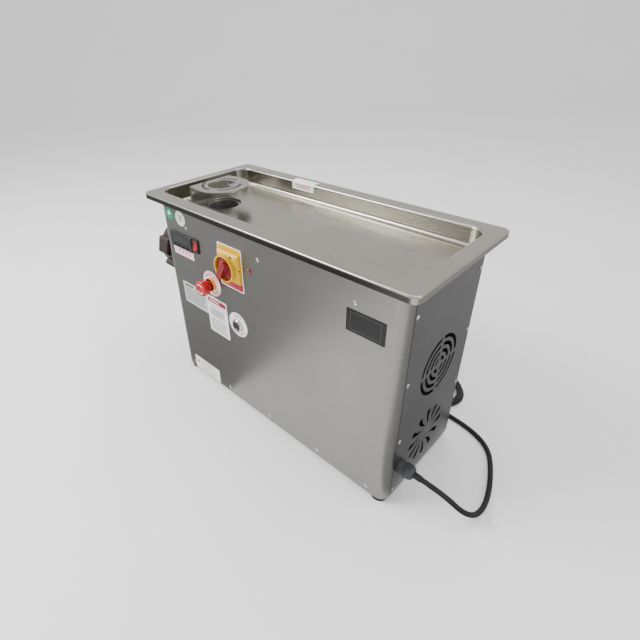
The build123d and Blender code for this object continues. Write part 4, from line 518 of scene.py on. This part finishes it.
def foot_label():
    piece = Piece("foot_label")
    x, y = -238, 22
    piece.prism(rectangle(x, y, 102, 40, 2), on_front, 0, LABEL, "film_white")
    piece.prism(rectangle(x + 6, y + 12.5, 46, 3.0), on_front, LABEL, LABEL + PRINT, "film_rose")
    piece.prism(rectangle(x - 38, y + 4, 9, 9), on_front, LABEL, LABEL + PRINT, "film_rose")
    text_rows(piece, on_front, x - 28, y + 6, 70, 6, 4.2, 1.9, LABEL, "film_pale", 3)
    return piece.finish()


def round_label(name, x, y, radius, hole, arcs, look="film_white"):
    """Round label about a push button, with short bars in place of curved lettering."""
    piece = Piece(name)
    piece.band((x, y), hole, radius, on_front, 0, LABEL, look, steps=64)
    piece.band((x, y), radius - 1.6, radius - 1.1, on_front, LABEL, LABEL + PRINT, "film_rose", steps=64)
    for start, turn, count, inner, outer in arcs:
        for i in range(count):
            share = turn / count
            piece.band(
                (x, y), inner, outer, on_front, LABEL, LABEL + PRINT, "film_rose",
                start=start + i * share, turn=share * (0.55 + 0.12 * (i % 3)), steps=3,
            )
    return piece.finish()


def white_sticker():
    piece = Piece("white_sticker")
    x, y = -253, 427
    piece.band((x, y), 0.5, 17, on_front, 0, LABEL, "film_white", steps=48)
    piece.band((x, y), 12.6, 13.4, on_front, LABEL, LABEL + PRINT, "film_dark", steps=48)
    for i, length in enumerate((13, 17, 13)):
        piece.prism(rectangle(x, y + 5.6 - 5.6 * i, length, 2.6), on_front, LABEL, LABEL + PRINT, "film_dark")
    return piece.finish()


CORNER = 20.0     # radius of the cabinet's vertical front corners


def round_corner(s, y, height):
    """Point over the front panel where it turns round the left corner; s as x from the tray."""
    start = LEFT_X / MM + CORNER
    x = CONTROLS_X / MM + s
    if x >= start:
        return on_front(s, y, height)
    angle = (start - x) / CORNER
    radius = (CORNER + height) * MM
    return Vector((
        start * MM - radius * math.sin(angle),
        FRONT_Y + CORNER * MM - radius * math.cos(angle),
        PANEL_Z + y * MM,
    ))


def green_sticker():
    """Round sticker that bends round the corner: concentric bands follow the sheet."""
    piece = Piece("green_sticker")
    x, y = -294, 431
    rings = [0.01, 3.2, 6.4, 9.6, 12.8, 16]
    for inner, outer in zip(rings, rings[1:]):
        piece.band((x, y), inner, outer, round_corner, 0.05, LABEL, "film_green", steps=48)
    for inner, outer in ((0.01, 2.6), (2.6, 5.2)):
        piece.band((x, y), inner, outer, round_corner, LABEL, LABEL + 0.04, "film_white", steps=32)
    return piece.finish()


def rim_sticker():
    """Sticker folded over the back rim and down into the bowl, following the rolled edge."""
    low, high = -149, -85
    roll = 4.0
    border = 28.0
    rear = TRAY_HIGH.y / MM
    roll_y = rear - border
    roll_z = RIM_TOP / MM - roll
    arc = roll * math.pi / 2

    def along(x, s, height):
        """s runs from the flat rim's outer side over the roll and down the wall."""
        if s <= 14:
            y, z = roll_y + 14 - s, roll_z + roll + height
        elif s <= 14 + arc:
            angle = (s - 14) / roll
            y = roll_y - (roll + height) * math.sin(angle)
            z = roll_z + (roll + height) * math.cos(angle)
        else:
            y, z = roll_y - roll - height, roll_z - (s - 14 - arc)
        return Vector((CONTROLS_X + x * MM, y * MM, z * MM))

    piece = Piece("rim_sticker")
    steps = [14 / 3 * i for i in range(3)] + [14 + arc * i / 10 for i in range(11)] + [22 + arc, 28 + arc]
    for one, other in zip(steps, steps[1:]):
        piece.prism([(low, one), (high, one), (high, other), (low, other)], along, 0.05, LABEL, "film_white")
    middle_x = (low + high) / 2
    piece.band((middle_x, 13), 2.6, 3.4, along, LABEL, LABEL + PRINT, "film_rose", steps=24)
    for row, (width, s) in enumerate(((46, 23), (40, 28))):
        for i in range(7):
            x = middle_x + (i - 3) * width / 7
            piece.prism(rectangle(x, s, width / 7 - 1.2, 3.0), along, LABEL, LABEL + PRINT, "film_rose")
    return piece.finish()


# ---------------------------------------------------------------- controls
STOP_AT = (-166, 300)
START_AT = (-88, 228)
SWITCH_AT = (-93, 368)
LAMP_AT = (-36, 376)
THERMOSTAT_AT = (-258, 374)


def arc_points(centre, radius, start, end, steps):
    """(radius, height) points along a rounding of a turned profile."""
    points = []
    for i in range(steps + 1):
        angle = math.radians(start + (end - start) * i / steps)
        points.append((centre[0] + radius * math.cos(angle), centre[1] + radius * math.sin(angle)))
    return points


def stop_button():
    """Red mushroom: stem, flared skirt, rolled shoulder, dished crown with two turn arrows."""
    piece = Piece("stop_mushroom")
    profile = [(0, -13.9), (7.9, -13.9), (7.9, 10.9), (12.4, 11.9), (12.9, 13.9), (15.4, 16.1)]
    profile += arc_points((16.2, 18.6), 1.7, -50, 0, 4)
    profile += arc_points((15.1, 29.2), 2.8, 0, 80, 8)
    profile += [(13.0, 32.3), (9, 31.7), (4, 31.4), (0, 31.3)]
    piece.lathe(profile, on_front, "red", centre=STOP_AT)
    for start in (35, 215):
        piece.band(
            STOP_AT, 9.4, 11.4, on_front, 31.6, 32.4, "film_white", start=start, turn=80, steps=12
        )
        tip = math.radians(start + 80)
        out = (math.cos(tip), math.sin(tip))
        along = (-math.sin(tip), math.cos(tip))
        centre = [STOP_AT[i] + 10.4 * out[i] for i in range(2)]
        corners = [(2.8, 0), (-2.8, 0), (0, 4.2)]
        head = [
            (centre[0] + out[0] * a + along[0] * b, centre[1] + out[1] * a + along[1] * b)
            for a, b in corners
        ]
        piece.prism(head, on_front, 31.6, 32.4, "film_white")
    return piece.finish("stop_button", 35, ["emergency_stop_button"])


def stop_collar():
    """Orange collar with a groove."""
    piece = Piece("stop_collar")
    profile = [(0, 0.45), (15.0, 0.45), (15.0, 1.6), (14.4, 2.0), (14.4, 2.5), (15.0, 2.9)]
    profile += arc_points((13.8, 5.8), 1.2, 0, 90, 5)
    profile += [(9.2, 7.0), (8.7, 6.2), (8.7, 1.2), (0, 1.2)]
    piece.lathe(profile, on_front, "orange", centre=STOP_AT)
    return piece.finish("root", 35)


def start_key():
    """Dark cap with a dished face inside the chrome bezel."""
    piece = Piece("start_cap")
    profile = [(0, -8.9), (9.5, -8.9), (9.5, 5.4)]
    profile += arc_points((8.5, 5.4), 1.0, 0, 90, 5)
    profile += [(7.2, 6.1), (4, 5.6), (0, 5.4)]
    piece.lathe(profile, on_front, "black_gloss", centre=START_AT)
    return piece.finish("start_key", 35, ["start_button"])


def start_bezel():
    """Chrome rings about the start key."""
    piece = Piece("start_bezel")
    for inner, outer, low, high in ((13.2, 14.9, 0.5, 4.1), (10.3, 11.6, 3.0, 6.3)):
        piece.band(START_AT, inner, outer, on_front, low, high, "bright", steps=64)
    piece.band(START_AT, 11.6, 13.2, on_front, 3.0, 5.0, "black_gloss", steps=64)
    return piece.finish("root", 35)


def lamp():
    """Domed lens in a thin flange."""
    piece = Piece("lamp_lens")
    profile = [(0, -23.9), (3.9, -23.9), (3.9, 0), (5.9, 0), (5.9, 1.0), (5.0, 1.4)]
    profile += arc_points((0, 0.4), 4.6, 12, 88, 8)
    profile += [(0, 5.0 - 1.05)]
    profile[-2] = (0.3, 3.96)
    piece.lathe([(r, min(h, 3.96)) for r, h in profile], on_front, "lamp", centre=LAMP_AT, steps=40)
    return piece.finish("root", 35, ["indicator_lamp"])


def thermostat_face():
    """Display window and membrane keys."""
    piece = Piece("thermostat_face")
    x, y = THERMOSTAT_AT
    piece.prism(rectangle(x, y + 4, 61, 18, 1.6), on_front, 4.05, 4.7, "glass")
    for i in range(4):
        key_x = x - 24 + 16 * i
        piece.prism(rectangle(key_x, y - 11.5, 10, 4, 1.6), on_front, 4.9, 5.0, "black")
        piece.prism(rectangle(key_x, y - 11.5, 3.2, 0.6), on_front, 4.95, 5.02, "film_grey")
    return piece.finish("root", 35)


def switch_marks():
    """Dark index marks on the yellow plate, at the two ends of the handle's turn."""
    piece = Piece("switch_marks")
    for angle in (60, 0):
        along = (math.cos(math.radians(angle)), math.sin(math.radians(angle)))
        x = SWITCH_AT[0] + 31 * along[0]
        y = SWITCH_AT[1] + 31 * along[1]
        height = 8.9 if angle else 7.4
        if angle:
            piece.band((x - 1, y - 1), 0.2, 2.9, on_front, height, height + 0.9, "film_dark", steps=20)
        else:
            piece.prism(rectangle(x + 1.6, y, 4.6, 1.3), on_front, 4.0, 6.2, "film_dark")
    return piece.finish("root")


def plate_border():
    """Plain pale border line on the black name plate; it carries no mark."""
    piece = Piece("plate_border")
    x, y = 234, 374
    for dx, dy, width, height in ((0, 16, 58, 0.7), (0, -16, 58, 0.7), (29, 0, 0.7, 32.7), (-29, 0, 0.7, 32.7)):
        piece.prism(rectangle(x + dx, y + dy, width, height), on_front, 0.8, 0.84, "film_grey")
    return piece.finish("root")


def seam_painted_shade():
    """Dark strips over the joints between the front panel and the two end panels: painted shade standing in for the
    narrow gaps there.
    """
    piece = Piece("seam_painted_shade")
    height = (FRONT_HIGH.z - FRONT_LOW.z) / MM
    for side, x in ((1, RIGHT_X), (-1, LEFT_X)):

        def on_end(y, z, depth, side=side, x=x):
            return Vector((x + side * depth * MM, FRONT_Y + y * MM, PANEL_Z + z * MM))

        piece.prism(rectangle(21.2, height / 2, 1.5, height - 1), on_end, 0.02, 0.1, "seam")
    return piece.finish("root")


def gland():
    """Cable gland with a ribbed cap, a domed nose and a tapered black strain relief."""
    centre = middle("cable_gland")

    def on_gland(a, b, height):
        return Vector((RIGHT_X + height * MM, centre.y + a * MM, centre.z + b * MM))

    piece = Piece("gland_body")
    piece.lathe([(0, 0.05), (15.4, 0.05), (15.4, 6.2), (14.6, 7.0), (0, 7.0)], on_gland, "gland", steps=6)
    piece.lathe([(0, 6.5), (13.2, 6.5), (13.2, 12.2), (0, 12.2)], on_gland, "gland", steps=48)
    cap = [(0, 12.0), (13.6, 12.0), (14.0, 12.6), (14.0, 24.4)]
    cap += arc_points((7.4, 24.6), 5.8, 0, 80, 8)
    cap += [(7.0, 30.6), (0, 30.6)]
    piece.lathe(cap, on_gland, "gland", steps=48)
    for rib in range(12):
        angle = math.radians(30 * rib)
        out = Vector((math.cos(angle), math.sin(angle)))
        along = Vector((-out.y, out.x))
        corners = [out * 13.5 - along * 1.3, out * 14.5 - along * 1.0]
        corners += [out * 14.5 + along * 1.0, out * 13.5 + along * 1.3]
        piece.prism([tuple(corner) for corner in corners], on_gland, 13.2, 23.6, "gland")
    sleeve = [(0, 30.0), (6.6, 30.0)]
    for ring_step in range(5):
        start = 31.5 + 2.8 * ring_step
        radius = 6.5 - 0.13 * ring_step
        sleeve += [(radius, start), (radius, start + 1.7), (radius - 0.7, start + 1.9), (radius - 0.7, start + 2.6)]
    sleeve += [(5.8, 45.5), (0, 45.5)]
    piece.lathe(sleeve, on_gland, "black", steps=40)
    return piece.finish("root", 35, ["cable_gland"])


def guard_grooves():
    """Three arc grooves in the guard's ring, as dark bands of painted shade on its top face, edged with thin bright
    rims.
    """
    top = Vector(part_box("feed_guard")[1])
    centre = (top.x / MM - 60, middle("feed_guard").y / MM)

    def on_guard(x, y, height):
        return Vector((x * MM, y * MM, top.z + height * MM))

    piece = Piece("guard_grooves")
    for start, turn in ((-50, 95), (88, 60), (200, 82)):
        piece.band(centre, 37.5, 44.5, on_guard, -0.5, 0.04, "groove", start=start, turn=turn, steps=24)
        # thin rims of bright steel along each groove's edges: the cut edges' own shine and a painted highlight
        for inner, outer in ((36.9, 37.5), (44.5, 45.1)):
            piece.band(centre, inner, outer, on_guard, -0.5, 0.06, "bright", start=start, turn=turn, steps=24)
    return piece.finish("root")


seam_painted_shade()
gland()
guard_grooves()
rating_plate()
warning_label()
switch_label()
thermostat_label()
foot_label()
round_label("stop_label", *STOP_AT, 30, 15.2, [(20, 140, 10, 20, 24.5), (200, 140, 10, 20, 24.5)], "film_pink")
round_label("start_label", *START_AT, 29.5, 15.2, [(60, 60, 4, 20, 24), (205, 130, 8, 21, 24.5)])
white_sticker()
green_sticker()
rim_sticker()
stop_button()
stop_collar()
start_key()
start_bezel()
lamp()
thermostat_face()
switch_marks()
plate_border()

# ---------------------------------------------------------------- cord
CORD_RADIUS = 5.0
GLAND_AT = middle("cable_gland") / MM
GLAND_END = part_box("cable_gland")[1][0] / MM
COIL_LOW, COIL_HIGH = (Vector(corner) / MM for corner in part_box("cord_coil"))
COIL_AT = (COIL_LOW + COIL_HIGH) / 2
OUTER_TURN = (COIL_HIGH.x - COIL_LOW.x) / 2 - CORD_RADIUS
CORD_START = GLAND_END - 12
GLAND_Y, GLAND_Z = GLAND_AT.y, GLAND_AT.z

route = [
    (CORD_START, GLAND_Y, GLAND_Z),
    (CORD_START + 54, GLAND_Y, GLAND_Z),
    (CORD_START + 92, GLAND_Y + 12, GLAND_Z - 32),
    (CORD_START + 107, GLAND_Y + 50, GLAND_Z - 64),
    (CORD_START + 104, GLAND_Y + 104, CORD_RADIUS),
    (CORD_START + 84, GLAND_Y + 165, CORD_RADIUS),
    (CORD_START + 56, GLAND_Y + 219, CORD_RADIUS),
    (CORD_START + 8, COIL_AT.y - OUTER_TURN - 6, CORD_RADIUS),
    (COIL_AT.x + 60, COIL_AT.y - OUTER_TURN + 2, CORD_RADIUS),
]
TURNS = 3
TURN_POINTS = 18
INNER_TURN = OUTER_TURN - 2 * CORD_RADIUS
TOP_TURN = OUTER_TURN - CORD_RADIUS
SPLINE_PULL = 1.012          # control points stand this much outside the turn they make


def eased(value, start, end):
    share = min(max((value - start) / (end - start), 0), 1)
    return share * share * (3 - 2 * share)


for step in range(1, TURNS * TURN_POINTS + 1):
    turn = step / TURN_POINTS
    radius = OUTER_TURN + (INNER_TURN - OUTER_TURN) * eased(turn, 0.7, 0.97)
    radius += (TOP_TURN - INNER_TURN) * eased(turn, 1.62, 1.8)
    height = CORD_RADIUS + 10.2 * eased(turn, 1.45, 1.68)
    angle = math.radians(-90 - 360 * turn)
    route.append((
        COIL_AT.x + SPLINE_PULL * radius * math.cos(angle),
        COIL_AT.y + SPLINE_PULL * radius * math.sin(angle),
        height,
    ))
route += [
    (COIL_AT.x - 52, COIL_AT.y - TOP_TURN + 1, 12),
    (COIL_AT.x - 106, COIL_AT.y - TOP_TURN - 6, 19),
    (COIL_AT.x - 158, COIL_AT.y - TOP_TURN + 4, 19),
]

cord_data = bpy.data.curves.new("mains_cord", "CURVE")
cord_data.dimensions = "3D"
cord_data.bevel_depth = CORD_RADIUS * MM
cord_data.bevel_resolution = 6
cord_data.resolution_u = 8
cord_data.use_fill_caps = True
spline = cord_data.splines.new("NURBS")
spline.points.add(len(route) - 1)
for point, spot in zip(spline.points, route):
    point.co = (*(Vector(spot) * MM), 1)
spline.order_u = 3
spline.use_endpoint_u = True
cord_data.materials.append(MATERIALS["cord"])
mains_cord = bpy.data.objects.new("mains_cord", cord_data)
bpy.context.collection.objects.link(mains_cord)
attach(mains_cord, "root")
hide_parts("power_cord", "cord_coil")

# ---------------------------------------------------------------- studio
floor_shader = Shader("studio_floor", Roughness=0.6)
floor_shader.drive("Base Color", floor_shader.tones(floor_shader.noise(2.0), (0.90, 0.90, 0.90), (0.93, 0.93, 0.93)))
floor_mesh = bmesh.new()
FLOOR = 6.0
COVE_STEPS = 12
COVE_RADIUS = 2.0
profile = [(-FLOOR, 0.0), (FLOOR - COVE_RADIUS, 0.0)]
for i in range(1, COVE_STEPS + 1):
    angle = math.radians(90 * i / COVE_STEPS)
    profile.append((FLOOR - COVE_RADIUS + COVE_RADIUS * math.sin(angle), COVE_RADIUS * (1 - math.cos(angle))))
profile.append((FLOOR, 5.0))
across = Vector((0.7, 0.7, 0)).normalized()
away = Vector((-0.7, 0.7, 0)).normalized()
rows = []
for run, height in profile:
    spots = [away * run + across * side + Vector((0, 0, height)) for side in (-8, 8)]
    rows.append([floor_mesh.verts.new(spot) for spot in spots])
for one, other in zip(rows, rows[1:]):
    floor_mesh.faces.new((one[0], one[1], other[1], other[0]))
floor_data = bpy.data.meshes.new("studio_floor")
floor_mesh.to_mesh(floor_data)
floor_mesh.free()
floor_data.shade_smooth()
floor_data.materials.append(floor_shader.material)
floor = bpy.data.objects.new("studio_floor", floor_data)
bpy.context.collection.objects.link(floor)

world = bpy.data.worlds.new("studio")
world.use_nodes = True
world.node_tree.nodes["Background"].inputs["Color"].default_value = (1.0, 1.0, 1.0, 1)
world.node_tree.nodes["Background"].inputs["Strength"].default_value = 1.05
bpy.context.scene.world = world


def flag(name, corners, tone):
    """Dark card that shows only in reflections, as a studio flag does."""
    card_mesh = bpy.data.meshes.new(name)
    card_mesh.from_pydata(corners, [], [(0, 1, 2, 3)])
    shader = Shader(name, Roughness=0.9)
    shader.drive("Base Color", shader.tones(shader.noise(3.0), scaled(tone, 0.9), scaled(tone, 1.1)))
    card_mesh.materials.append(shader.material)
    card = bpy.data.objects.new(name, card_mesh)
    bpy.context.collection.objects.link(card)
    card.visible_camera = False
    card.visible_diffuse = False
    card.visible_shadow = False


LOW = 0.003
flag("right_flag", [(0.36, -0.3, LOW), (1.6, -0.3, LOW), (1.6, 1.6, LOW), (0.36, 1.6, LOW)], (0.30, 0.30, 0.30))
flag("left_flag", [(-2.2, -1.5, LOW), (-0.12, -1.5, LOW), (-0.12, -0.126, LOW), (-2.2, -0.126, LOW)], (0.22, 0.22, 0.22))


def soft_light(name, place, target, size, power):
    data = bpy.data.lights.new(name, "AREA")
    data.shape = "RECTANGLE"
    data.size, data.size_y = size
    data.energy = power
    light = bpy.data.objects.new(name, data)
    light.location = place
    light.rotation_euler = (Vector(target) - Vector(place)).to_track_quat("-Z", "Y").to_euler()
    bpy.context.collection.objects.link(light)


soft_light("key", (-1.3, -1.3, 1.9), (0, 0, 0.4), (1.2, 0.7), 75)
soft_light("overhead", (0.2, 0.6, 2.6), (0, 0, 0.3), (2.2, 1.6), 30)
soft_light("right", (2.2, 0.3, 1.2), (0.3, 0, 0.2), (1.0, 1.4), 10)
